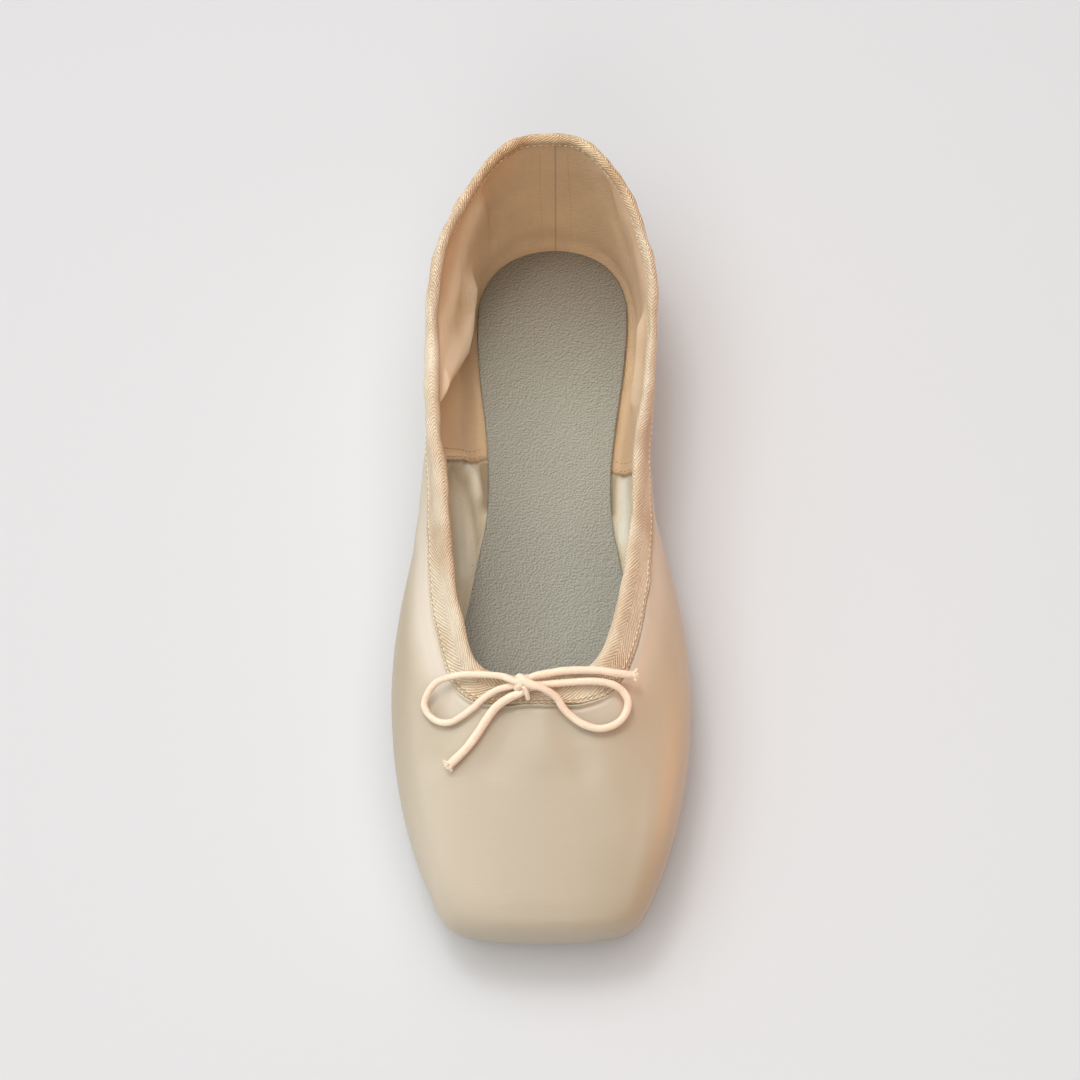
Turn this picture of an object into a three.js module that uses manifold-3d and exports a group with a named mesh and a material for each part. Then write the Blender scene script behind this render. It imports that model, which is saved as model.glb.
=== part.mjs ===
// A satin pointe shoe: a hollow upper with a hardened toe box, a leather outsole,
// an insole, a folded tape round the opening, and the bow of the drawstring.
// Millimetres, +Z up, the toe towards -Y. The origin is on the floor, at the
// middle of the shoe's length and width.
import * as THREE from "three";
import { mergeVertices } from "three/addons/utils/BufferGeometryUtils.js";
import Module from "manifold-3d";

const wasm = await Module();
wasm.setup();

// Driving sizes of the finished shoe.
const LENGTH = 241.6;
const BALL_WIDTH = 84;
const HEEL_HEIGHT = 61;

// Sizes of the last that the tables below were drawn on, for grading to another size.
const LAST_LENGTH = 241.6;
const LAST_WIDTH = 84;
const LAST_HEIGHT = 61;
const GRADE = new THREE.Vector3(BALL_WIDTH / LAST_WIDTH, LENGTH / LAST_LENGTH, HEEL_HEIGHT / LAST_HEIGHT);

// The slack upper bulges to its left, so its midline lies to the right of the middle of its width.
const MIDLINE = 0.86;

// Clearance between two pieces that meet.
const GAP = 0.3;

// Layers under the foot.
const OUTSOLE_THICKNESS = 2.4;
const UNDER_WALL = 1.4;
const INSOLE_THICKNESS = 2;
const BEVEL = 2;
const BEVEL_SLOPE = 0.6;
const TUCK = 4;

// The outsole's rise off the floor at the waist and under the toe.
const ARCH_RISE = 2.5;
const ARCH_BACK = 62;
const ARCH_FRONT = -22;
const TOE_SPRING = 3.5;
const SPRING_START = -70;
const SPRING_END = -106;

// The folded tape round the opening, measured down the wall from its rolled edge.
const EDGE_WALL = 1.2;
const TAPE_THICKNESS = 0.6;
const TAPE_OUTSIDE = 9;
const TAPE_INSIDE = 8.5;
const ROLL_DEPTH = 1;
const EDGE_DROP = 1.6;

// The drawstring.
const CORD_DIAMETER = 2.4;
const CORD_SIDES = 8;
const LOOP_STEPS = 26;
const END_STEPS = 14;

// Facets: steps round the shoe between two ribs, and places up the wall.
const STEPS_PER_RIB = 3;
const OUTER_STEPS = [0, 0.5, 1, 1.33, 1.67, 2, 2.5, 3, 3.25, 3.5, 3.75, 4, 4.33, 4.67, 5];
const INNER_STEPS = [5, 4.5, 4, 3.67, 3.33, 3, 2.5, 2, 1.5, 1, 0];

// Ribs of the right half of the last, from the middle of the heel round the side to the middle
// of the toe. Each rib is a profile up the wall: it starts at the sole's edge, turns up at its
// low corner, turns in at its high corner and ends on the top line. The two rounds say how far
// each corner is rounded and wall is the wall's thickness. The slack wall leans to one side:
// highSway moves both sides' high corners by the same amount, and topSway their top line.
const RIB_COLUMNS = [
  "soleX", "soleY", "lowX", "lowY", "lowRise", "highX", "highY", "highZ",
  "topX", "topY", "topZ", "lowRound", "highRound", "wall", "highSway", "topSway",
];
const RIB_ROWS = [
  [0, 106, 0, 117.4, 3, 0, 120.8, 30, 0, 117, 61, 6, 24, 1.8, 0, 1],
  [10.5, 103.5, 12, 114.8, 3, 12.5, 117.4, 30, 10, 115.6, 60.7, 6, 24, 1.8, 0, 1],
  [18, 96, 21.5, 106, 3, 22, 107.8, 30, 18.8, 107.4, 59.2, 6, 24, 1.8, 0, 0.8],
  [21.5, 84, 27.2, 91.5, 3, 28.3, 92.5, 30, 26.6, 94.5, 56.6, 6, 24, 1.7, 0, 0.4],
  [21.5, 68, 28.2, 72, 3, 30.8, 73, 29, 32, 79, 53.3, 6, 22, 1.5, 0, 0],
  [19.5, 50, 26.8, 51, 3, 32, 52, 28, 33.2, 58, 49.8, 7, 20, 1.3, -0.6, -0.6],
  [17, 30, 25, 30, 3, 34, 31, 29, 31.6, 36, 48, 8, 18, 1.3, -1.6, -0.8],
  [16.5, 10, 27, 10, 3, 36.6, 9, 29, 28.2, 13, 47.4, 10, 18, 1.3, -2.2, -0.8],
  [19.5, -10, 32.5, -10, 3, 39.6, -11, 30, 26.3, -7, 47, 13, 18, 1.5, -1.8, -0.4],
  [24, -30, 38.8, -30, 3, 42.4, -30, 31, 24.2, -22, 47, 15, 19, 2, -1.4, -0.2],
  [27, -50, 41.6, -50, 3, 43, -50, 32.6, 21.2, -36, 47.2, 16, 21, 2.4, -1.1, -0.3],
  [27.5, -68, 40.6, -69, 3, 41.4, -70, 32.8, 18.2, -46, 47.5, 15, 22, 2.6, -0.7, -0.6],
  [25, -84, 36.6, -88, 3, 37.6, -89.6, 32, 14.4, -51, 47.7, 13, 19, 2.6, -0.3, -0.8],
  [20.5, -95, 30.6, -105, 2.8, 31.4, -107, 30.6, 9.8, -52.8, 47.9, 10, 15, 2.6, 0, -0.8],
  [14, -101.5, 24.2, -114.8, 2.7, 25, -118, 29.3, 6.2, -53.3, 48, 8, 12, 2.6, 0, -0.8],
  [7.5, -104.5, 13.4, -117.6, 2.7, 13.6, -121, 30, 3.2, -53.5, 48, 7, 10, 2.6, 0, -0.8],
  [0, -105.5, 0, -118.2, 2.7, 0, -121.6, 30.4, 0, -53.5, 48, 7, 10, 2.6, 0, -0.8],
];

// Half outline of the insole, from the middle of its heel end to the middle of its toe end.
const INSOLE_COLUMNS = ["x", "y"];
const INSOLE_ROWS = [
  [0, 111.5], [10, 109.6], [17.8, 104.2], [22.7, 95], [23.8, 84], [22.6, 66], [20.4, 48], [18.8, 30],
  [19, 14], [21.6, -1], [24.6, -18], [27.5, -36], [28.4, -55], [27, -73], [23, -88], [14.5, -100], [0, -106.5],
];

// Routes of the bow's cords over the tape and the vamp, chosen by hand as they lie. Each point
// is across, along and up. A loop leaves the knot by its first point and returns by its last.
const BOW_ROUTES = {
  bow_loop_left: [
    [-5.9, -56.9, 52.2], [-9, -55.3, 51.7], [-14.2, -54.3, 50.8], [-20.7, -53.7, 49.4],
    [-24.7, -53.8, 47.7], [-28.1, -54.6, 46], [-30.4, -56.9, 44.3], [-31.4, -59.6, 43],
    [-30.3, -62.3, 42.3], [-27.5, -64.6, 42.6], [-24.1, -65.3, 43.6], [-20.8, -64.1, 45],
    [-17.7, -62.3, 46.5], [-14.1, -59.8, 48.5], [-10.4, -58.1, 49.6], [-5.9, -57, 49.7],
  ],
  bow_loop_right: [
    [-0.6, -58.2, 52.5], [1.6, -58.9, 51.9], [5.1, -60.7, 50], [7.2, -63.3, 47.7],
    [9.7, -65.4, 46.4], [12.8, -67.2, 45.7], [16.6, -68, 45], [20.6, -66.8, 44.4],
    [23.4, -64.3, 44.7], [24.5, -60.7, 45.7], [23.1, -58, 46.9], [20.7, -56.6, 48.1],
    [16.7, -56, 49.1], [11.6, -56.1, 49.5], [6.4, -56.5, 49.6], [2.7, -56.8, 49.6], [-0.3, -57, 49.6],
  ],
  bow_end_left: [
    [-5, -59.5, 49.7], [-7.7, -60.6, 49.3], [-11.5, -62.7, 47.4], [-14.2, -66, 46],
    [-16.9, -69.8, 44.6], [-19.8, -73.1, 43.2], [-23.9, -76.6, 41.4],
  ],
  bow_end_right: [
    [-1, -55.2, 51.4], [2.7, -54.3, 51.2], [6.5, -53.5, 50.9], [11.7, -53.2, 50.7],
    [16.8, -53.2, 50.3], [21.9, -53.8, 49.6], [25.9, -53.9, 48.4],
  ],
};

// The knot: a rounded core, and the wrap that comes out of the tape and passes over it.
const KNOT_MIDDLE = [-3.1, -57, 51];
const KNOT_HALF_SIZE = [2.2, 2.1, 2];
const WRAP_DIAMETER = 2.6;
const WRAP_ROUTE = [
  [-2, -61.8, 48.7], [-2.4, -60.2, 50.6], [-2.9, -58, 52.4], [-3.2, -56, 52.6], [-3.3, -54.2, 51.2],
];

function rowsToObjects(columns, rows) {
  return rows.map((row) => Object.fromEntries(columns.map((name, i) => [name, row[i]])));
}

// Names of the columns that change sign on the left half.
const ACROSS = new Set(["soleX", "lowX", "highX", "topX", "x"]);

function mirrored(row) {
  return Object.fromEntries(Object.entries(row).map(([name, v]) => [name, ACROSS.has(name) ? -v : v]));
}

// The right half's rows followed by their mirror images, as one closed loop.
function closedLoop(columns, rows) {
  const right = rowsToObjects(columns, rows);
  const left = right.slice(1, -1).reverse().map(mirrored);
  return [...right, ...left];
}

// A closed Catmull-Rom spline through every column of a loop of rows.
function along(loop, u) {
  const n = loop.length;
  const i = Math.floor(u);
  const t = u - i;
  const [a, b, c, d] = [i - 1, i, i + 1, i + 2].map((k) => loop[((k % n) + n) % n]);
  const mix = (p, q, r, s) =>
    q + 0.5 * t * (r - p + t * (2 * p - 5 * q + 4 * r - s + t * (3 * (q - r) + s - p)));
  return Object.fromEntries(Object.keys(b).map((name) => [name, mix(a[name], b[name], c[name], d[name])]));
}

const RIBS = closedLoop(RIB_COLUMNS, RIB_ROWS);
const INSOLE_LOOP = closedLoop(INSOLE_COLUMNS, INSOLE_ROWS);

// Height of the outsole's underside above the floor.
function soleLine(y) {
  const waist = THREE.MathUtils.clamp((y - ARCH_FRONT) / (ARCH_BACK - ARCH_FRONT), 0, 1);
  const spring = THREE.MathUtils.clamp((y - SPRING_START) / (SPRING_END - SPRING_START), 0, 2);
  return ARCH_RISE * Math.sin(Math.PI * waist) ** 2 + TOE_SPRING * spring * spring;
}

function graded(x, y, z) {
  return new THREE.Vector3(x + MIDLINE, y, z).multiply(GRADE);
}

// A point of a flat outline, drawn in by inset towards the middle of the shoe.
function drawnIn(outline, u, inset) {
  const step = 0.01;
  const tangent = outline(u + step).sub(outline(u - step)).normalize();
  const inward = new THREE.Vector3(tangent.y, -tangent.x, 0);
  return outline(u).addScaledVector(inward, inset);
}

function soleEdge(u, inset) {
  const outline = (k) => {
    const row = along(RIBS, k);
    return graded(row.soleX, row.soleY, 0);
  };
  return drawnIn(outline, u, inset);
}

// A point of the outer wall. Whole numbers of v are the ends of the profile's six stretches:
// the underside, the low corner, the side, the high corner, the run up to the tape's edge,
// and the part under the tape, which ends on the top line.
function outerWall(u, v) {
  const row = along(RIBS, u);
  const foot = soleEdge(u, TUCK);
  foot.z = soleLine(foot.y) + OUTSOLE_THICKNESS + GAP;
  const low = graded(row.lowX + row.highSway / 2, row.lowY, 0);
  low.z = soleLine(low.y) + row.lowRise;
  const high = graded(row.highX + row.highSway, row.highY, row.highZ);
  const top = graded(row.topX + row.topSway, row.topY, row.topZ);
  const towards = (from, to, reach) => {
    const share = Math.min(0.44, reach / from.distanceTo(to));
    return from.clone().lerp(to, share);
  };
  const tapeEdge = towards(top, high, TAPE_OUTSIDE);
  const lowStart = towards(low, foot, row.lowRound);
  const lowEnd = towards(low, high, row.lowRound);
  const highStart = towards(high, low, row.highRound);
  const highEnd = towards(high, top, Math.min(row.highRound, high.distanceTo(tapeEdge) - 1));
  const stretches = [
    new THREE.LineCurve3(foot, lowStart),
    new THREE.QuadraticBezierCurve3(lowStart, low, lowEnd),
    new THREE.LineCurve3(lowEnd, highStart),
    new THREE.QuadraticBezierCurve3(highStart, high, highEnd),
    new THREE.LineCurve3(highEnd, tapeEdge),
    new THREE.LineCurve3(tapeEdge, top),
  ];
  const i = Math.min(Math.floor(v), stretches.length - 1);
  return stretches[i].getPoint(v - i);
}

// The outward normal of the outer wall.
function wallNormal(u, v) {
  const step = 0.02;
  const round = outerWall(u + step, v).sub(outerWall(u - step, v));
  const up = outerWall(u, Math.min(6, v + step)).sub(outerWall(u, Math.max(0, v - step)));
  return up.cross(round).normalize();
}

// The wall is thin under the foot and at the top line, and has the rib's own thickness between.
function wallThickness(u, v) {
  const own = along(RIBS, u).wall;
  if (v < 2) return THREE.MathUtils.lerp(UNDER_WALL, own, Math.max(0, v - 1));
  if (v > 4) return THREE.MathUtils.lerp(own, EDGE_WALL, Math.min(1, v - 4));
  return own;
}

// The inner face of the wall. At the opening underneath it lies straight above the outer face.
function innerWall(u, v) {
  const down = new THREE.Vector3(0, 0, -1);
  const outward = wallNormal(u, v).lerp(down, Math.max(0, 1 - v)).normalize();
  return outerWall(u, v).addScaledVector(outward, -wallThickness(u, v));
}

// A place near the top line: down is measured along the wall from the top line, and out
// is measured from the outer face.
function nearTopLine(u, down, out) {
  const v = 6 - down / TAPE_OUTSIDE;
  return outerWall(u, v).addScaledVector(wallNormal(u, v), out);
}

function geometryOf(points, triangles) {
  const geometry = new THREE.BufferGeometry().setFromPoints(points);
  geometry.setIndex(triangles);
  geometry.computeVertexNormals();
  return geometry;
}

// Triangles between ring r and ring s, each of n points, in a list of rings. The two ways of
// splitting each quad let two pieces that lie face to face be split alike.
function band(r, s, n, splitBack = false) {
  const out = [];
  for (let i = 0; i < n; i++) {
    const j = (i + 1) % n;
    const [a, b, c, d] = [r * n + i, s * n + i, s * n + j, r * n + j];
    if (splitBack) out.push(a, b, d, b, c, d);
    else out.push(a, b, c, a, c, d);
  }
  return out;
}

// A closed tube-like solid whose last ring meets its first.
function ringSolid(rings, splitBack = false) {
  const n = rings[0].length;
  const triangles = rings.flatMap((_, r) => band(r, (r + 1) % rings.length, n, splitBack));
  return geometryOf(rings.flat(), triangles);
}

// A closed plate: rings from its underside to its top, both ends filled by strips across the shoe.
function plateSolid(rings) {
  const n = rings[0].length;
  const triangles = rings.slice(1).flatMap((_, r) => band(r, r + 1, n));
  const top = (rings.length - 1) * n;
  for (let i = 0; i < n / 2; i++) {
    const [a, b, c, d] = [i, i + 1, (n - i - 1) % n, (n - i) % n];
    const quad = i === 0 ? [[a, b, c]] : i === n / 2 - 1 ? [[a, b, d]] : [[a, b, c], [a, c, d]];
    quad.forEach(([p, q, r]) => triangles.push(p, q, r, top + p, top + r, top + q));
  }
  return geometryOf(rings.flat(), triangles);
}

const places = Array.from({ length: RIBS.length * STEPS_PER_RIB }, (_, i) => i / STEPS_PER_RIB);

function upperGeometry() {
  const end = 6 - EDGE_DROP / TAPE_OUTSIDE;
  const outer = [...OUTER_STEPS, end].map((v) => places.map((u) => outerWall(u, v)));
  const inner = [end, ...INNER_STEPS].map((v) => places.map((u) => innerWall(u, v)));
  return ringSolid([...outer, ...inner]);
}

// The tape's section, as places down the wall and out from it, round the fold and back.
function tapeSection() {
  const outFace = GAP + TAPE_THICKNESS;
  const inFace = -EDGE_WALL - GAP;
  const slot = EDGE_DROP - GAP;
  return [
    [TAPE_OUTSIDE, GAP],
    [TAPE_OUTSIDE, outFace],
    [ROLL_DEPTH, outFace],
    [0, 0],
    [0, -EDGE_WALL],
    [ROLL_DEPTH, inFace - TAPE_THICKNESS],
    [TAPE_INSIDE, inFace - TAPE_THICKNESS],
    [TAPE_INSIDE, inFace],
    [slot, inFace],
    [slot, GAP],
  ];
}

function tapeGeometry() {
  const rings = tapeSection().map(([down, out]) => places.map((u) => nearTopLine(u, down, out)));
  return ringSolid(rings, true);
}

// The outsole: a plate with a raised middle that fills the opening in the upper's underside.
function outsoleGeometry() {
  const edge = 0.8;
  const filled = OUTSOLE_THICKNESS + GAP + UNDER_WALL;
  const ring = (inset, height) =>
    places.map((u) => {
      const p = soleEdge(u, inset);
      p.z = soleLine(p.y) + height;
      return p;
    });
  return plateSolid([
    ring(edge, 0),
    ring(0, edge),
    ring(0, OUTSOLE_THICKNESS),
    ring(TUCK + GAP, OUTSOLE_THICKNESS),
    ring(TUCK + GAP, filled),
  ]);
}

function insoleGeometry() {
  const steps = 2;
  const edge = 0.5;
  const bottom = OUTSOLE_THICKNESS + UNDER_WALL + 2 * GAP;
  const spots = Array.from({ length: INSOLE_LOOP.length * steps }, (_, i) => i / steps);
  const outline = (u) => {
    const { x, y } = along(INSOLE_LOOP, u);
    return graded(x, y, 0);
  };
  const ring = (inset, height) =>
    spots.map((u) => {
      const p = drawnIn(outline, u, inset);
      p.z = soleLine(p.y) + bottom + height;
      return p;
    });
  return plateSolid([
    ring(BEVEL, 0),
    ring(0, BEVEL * BEVEL_SLOPE),
    ring(0, INSOLE_THICKNESS - edge),
    ring(edge, INSOLE_THICKNESS),
  ]);
}

// A round cord along a route.
function cordGeometry(route, diameter, steps) {
  const path = new THREE.CatmullRomCurve3(route.map((point) => graded(...point)), false, "centripetal");
  const round = new THREE.Shape(
    Array.from({ length: CORD_SIDES }, (_, i) => {
      const angle = (2 * Math.PI * i) / CORD_SIDES;
      return new THREE.Vector2(Math.cos(angle), Math.sin(angle)).multiplyScalar(diameter / 2);
    }),
  );
  const geometry = new THREE.ExtrudeGeometry(round, { steps, extrudePath: path, curveSegments: 1 });
  return welded(geometry);
}

function welded(geometry) {
  geometry.deleteAttribute("normal");
  geometry.deleteAttribute("uv");
  return mergeVertices(geometry, 1e-4);
}

function toManifold(geometry) {
  const vertProperties = new Float32Array(geometry.attributes.position.array);
  const triVerts = new Uint32Array(geometry.index.array);
  return new wasm.Manifold(new wasm.Mesh({ numProp: 3, vertProperties, triVerts }));
}

function fromManifold(solid) {
  const mesh = solid.getMesh();
  const geometry = new THREE.BufferGeometry();
  geometry.setAttribute("position", new THREE.BufferAttribute(mesh.vertProperties, 3));
  geometry.setIndex(new THREE.BufferAttribute(mesh.triVerts, 1));
  geometry.computeVertexNormals();
  return geometry;
}

function knotGeometry() {
  const core = welded(new THREE.SphereGeometry(1, 10, 8));
  core.scale(...KNOT_HALF_SIZE).translate(...graded(...KNOT_MIDDLE).toArray());
  const wrap = cordGeometry(WRAP_ROUTE, WRAP_DIAMETER, 10);
  return fromManifold(toManifold(core).add(toManifold(wrap)));
}

const SATIN = new THREE.MeshStandardMaterial({ color: 0xe8cdb4, roughness: 0.45, metalness: 0 });
const TAPE = new THREE.MeshStandardMaterial({ color: 0xf0cfa8, roughness: 0.6, metalness: 0 });
const LEATHER = new THREE.MeshStandardMaterial({ color: 0xc9a883, roughness: 0.8, metalness: 0 });
const CORD = new THREE.MeshStandardMaterial({ color: 0xf3d9bd, roughness: 0.7, metalness: 0 });
const BOARD = new THREE.MeshStandardMaterial({ color: 0xa9a89b, roughness: 0.85, metalness: 0 });

const shoe = new THREE.Group();

function addPiece(name, geometry, material) {
  const mesh = new THREE.Mesh(geometry, material.clone());
  mesh.name = name;
  shoe.add(mesh);
}

addPiece("upper", upperGeometry(), SATIN);
addPiece("collar_tape", tapeGeometry(), TAPE);
addPiece("outsole", outsoleGeometry(), LEATHER);
addPiece("insole", insoleGeometry(), BOARD);
addPiece("bow_knot", knotGeometry(), CORD);
for (const [name, route] of Object.entries(BOW_ROUTES)) {
  const steps = name.includes("loop") ? LOOP_STEPS : END_STEPS;
  addPiece(name, cordGeometry(route, CORD_DIAMETER, steps), CORD);
}

export default shoe;
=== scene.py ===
"""Dresses the solids of a satin pointe shoe in satin, linings, tape, soles and cord.

Laid out as an add-on and run as a script. The tables are in millimetres, the scene in metres,
+Z up and the toe towards -Y.
"""

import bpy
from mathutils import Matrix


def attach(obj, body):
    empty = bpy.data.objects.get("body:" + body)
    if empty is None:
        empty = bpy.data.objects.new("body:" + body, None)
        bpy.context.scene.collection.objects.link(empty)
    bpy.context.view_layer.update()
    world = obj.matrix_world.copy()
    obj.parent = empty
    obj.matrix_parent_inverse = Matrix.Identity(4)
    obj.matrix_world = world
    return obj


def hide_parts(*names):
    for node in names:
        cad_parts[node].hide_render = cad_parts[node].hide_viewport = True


bl_info = {
    "name": "Pointe Shoe",
    "version": (1, 0, 0),
    "blender": (4, 5, 0),
    "location": "View3D > Sidebar > Pointe Shoe",
    "description": "Dresses the solids of a satin pointe shoe",
    "category": "Object",
}

import math

import bpy
import numpy as np
from mathutils import Matrix

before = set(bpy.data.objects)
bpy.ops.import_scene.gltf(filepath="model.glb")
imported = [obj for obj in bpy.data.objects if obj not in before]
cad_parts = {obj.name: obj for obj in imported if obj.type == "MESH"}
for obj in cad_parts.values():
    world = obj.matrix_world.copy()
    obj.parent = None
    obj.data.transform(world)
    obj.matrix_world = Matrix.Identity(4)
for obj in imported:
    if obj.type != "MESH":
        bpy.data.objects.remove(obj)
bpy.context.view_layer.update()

MM = 0.001

# The last. Each rib is a profile up the wall, from the middle of the heel round the right side
# to the middle of the toe; the left side mirrors it.
RIB_COLUMNS = (
    "sole_x sole_y low_x low_y low_rise high_x high_y high_z "
    "top_x top_y top_z low_round high_round wall high_sway top_sway"
).split()
RIB_ACROSS = [0, 2, 5, 8]
RIB_ROWS = [
    [0, 106, 0, 117.4, 3, 0, 120.8, 30, 0, 117, 61, 6, 24, 1.8, 0, 1],
    [10.5, 103.5, 12, 114.8, 3, 12.5, 117.4, 30, 10, 115.6, 60.7, 6, 24, 1.8, 0, 1],
    [18, 96, 21.5, 106, 3, 22, 107.8, 30, 18.8, 107.4, 59.2, 6, 24, 1.8, 0, 0.8],
    [21.5, 84, 27.2, 91.5, 3, 28.3, 92.5, 30, 26.6, 94.5, 56.6, 6, 24, 1.7, 0, 0.4],
    [21.5, 68, 28.2, 72, 3, 30.8, 73, 29, 32, 79, 53.3, 6, 22, 1.5, 0, 0],
    [19.5, 50, 26.8, 51, 3, 32, 52, 28, 33.2, 58, 49.8, 7, 20, 1.3, -0.6, -0.6],
    [17, 30, 25, 30, 3, 34, 31, 29, 31.6, 36, 48, 8, 18, 1.3, -1.6, -0.8],
    [16.5, 10, 27, 10, 3, 36.6, 9, 29, 28.2, 13, 47.4, 10, 18, 1.3, -2.2, -0.8],
    [19.5, -10, 32.5, -10, 3, 39.6, -11, 30, 26.3, -7, 47, 13, 18, 1.5, -1.8, -0.4],
    [24, -30, 38.8, -30, 3, 42.4, -30, 31, 24.2, -22, 47, 15, 19, 2, -1.4, -0.2],
    [27, -50, 41.6, -50, 3, 43, -50, 32.6, 21.2, -36, 47.2, 16, 21, 2.4, -1.1, -0.3],
    [27.5, -68, 40.6, -69, 3, 41.4, -70, 32.8, 18.2, -46, 47.5, 15, 22, 2.6, -0.7, -0.6],
    [25, -84, 36.6, -88, 3, 37.6, -89.6, 32, 14.4, -51, 47.7, 13, 19, 2.6, -0.3, -0.8],
    [20.5, -95, 30.6, -105, 2.8, 31.4, -107, 30.6, 9.8, -52.8, 47.9, 10, 15, 2.6, 0, -0.8],
    [14, -101.5, 24.2, -114.8, 2.7, 25, -118, 29.3, 6.2, -53.3, 48, 8, 12, 2.6, 0, -0.8],
    [7.5, -104.5, 13.4, -117.6, 2.7, 13.6, -121, 30, 3.2, -53.5, 48, 7, 10, 2.6, 0, -0.8],
    [0, -105.5, 0, -118.2, 2.7, 0, -121.6, 30.4, 0, -53.5, 48, 7, 10, 2.6, 0, -0.8],
]
INSOLE_ROWS = [
    [0, 111.5], [10, 109.6], [17.8, 104.2], [22.7, 95], [23.8, 84], [22.6, 66], [20.4, 48],
    [18.8, 30], [19, 14], [21.6, -1], [24.6, -18], [27.5, -36], [28.4, -55], [27, -73],
    [23, -88], [14.5, -100], [0, -106.5],
]
MIDLINE = 0.86
GAP = 0.3
OUTSOLE_THICKNESS = 2.4
UNDER_WALL = 1.4
TUCK = 4.0
ARCH_RISE = 2.5
ARCH_BACK = 62.0
ARCH_FRONT = -22.0
TOE_SPRING = 3.5
SPRING_START = -70.0
SPRING_END = -106.0
EDGE_WALL = 1.2
TAPE_OUTSIDE = 9.0
EDGE_DROP = 1.6
ROUND_SHARE = 0.44

# Places round the shoe, counted in ribs from the middle of the heel.
RIB_COUNT = 32
TOE = 16.0
COLUMNS_PER_RIB = 16
SEAM_RIGHT = 6.4
SEAM_LEFT = 25.5
SEAM_ENDS = {SEAM_RIGHT: (6.02, 7.12), SEAM_LEFT: (26.24, 25.11)}
SEAM_SHEAR = 2.3
PROFILE_HEIGHTS = [3.0, 5.3, 12.5, 18.7, 37.4, 39.4, 48.0]
SEAM_COLUMNS = [-0.06, -0.035, -0.02, -0.01, 0.0, 0.012, 0.03, 0.05]
TAPE_EDGE = 5.0
TOP_LINE = 6.0

# The bow's routes, each point across, along and up, as the cords lie.
LOOP_LEFT = [
    [-5.9, -56.9, 52.2], [-9, -55.3, 51.7], [-14.2, -54.3, 50.8], [-20.7, -53.7, 49.4],
    [-24.7, -53.8, 47.7], [-28.1, -54.6, 46], [-30.4, -56.9, 44.3], [-31.4, -59.6, 43],
    [-30.3, -62.3, 42.3], [-27.5, -64.6, 42.6], [-24.1, -65.3, 43.6], [-20.8, -64.1, 45],
    [-17.7, -62.3, 46.5], [-14.1, -59.8, 48.5], [-10.4, -58.1, 49.6], [-5.9, -57, 49.7],
]
LOOP_RIGHT = [
    [-0.6, -58.2, 52.5], [1.6, -58.9, 51.9], [5.1, -60.7, 50], [7.2, -63.3, 47.7],
    [9.7, -65.4, 46.4], [12.8, -67.2, 45.7], [16.6, -68, 45], [20.6, -66.8, 44.4],
    [23.4, -64.3, 44.7], [24.5, -60.7, 45.7], [23.1, -58, 46.9], [20.7, -56.6, 48.1],
    [16.7, -56, 49.1], [11.6, -56.1, 49.5], [6.4, -56.5, 49.6], [2.7, -56.8, 49.6],
    [-0.3, -57, 49.6],
]
END_LEFT = [
    [-5, -59.5, 49.7], [-7.7, -60.6, 49.3], [-11.5, -62.7, 47.4], [-14.2, -66, 46],
    [-16.9, -69.8, 44.6], [-19.8, -73.1, 43.2], [-23.9, -76.6, 41.4],
]
END_RIGHT = [
    [-1, -55.2, 51.4], [2.7, -54.3, 51.2], [6.5, -53.5, 50.9], [11.7, -53.2, 50.7],
    [16.8, -53.2, 50.3], [21.9, -53.8, 49.6], [25.9, -53.9, 48.4],
]
START_LEFT = [[-3.2, -57.4, 52]]
START_RIGHT = [[-3.4, -56.6, 52.6]]
INSIDE_A = [[-3.4, -56.2, 50.4]]
INSIDE_B = [[-2.8, -58.2, 49.6]]
# The knot's turns: the diameter at each end, and the route.
KNOT_STRANDS = [
    (2.3, 2.3, [
        [-5.2, -55.7, 50.2], [-4.6, -55.7, 52], [-3.3, -57, 52.9], [-1.8, -58, 52.6], [0, -58.5, 52.2],
    ]),
    (2.2, 2.1, [
        [-5.4, -58, 49.9], [-5, -58, 51.3], [-4.2, -57.4, 52], [-3, -56, 51.7], [-2.6, -55.2, 50.2],
    ]),
    (3.2, 2.8, [[-4.9, -57, 50.8], [-3.2, -57, 50.8], [-1.6, -57, 50.7]]),
    (1.7, 1.2, [[-3.2, -58.2, 51.9], [-2.9, -59.2, 51], [-2.6, -60.2, 50], [-2.4, -61, 49]]),
]

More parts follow.
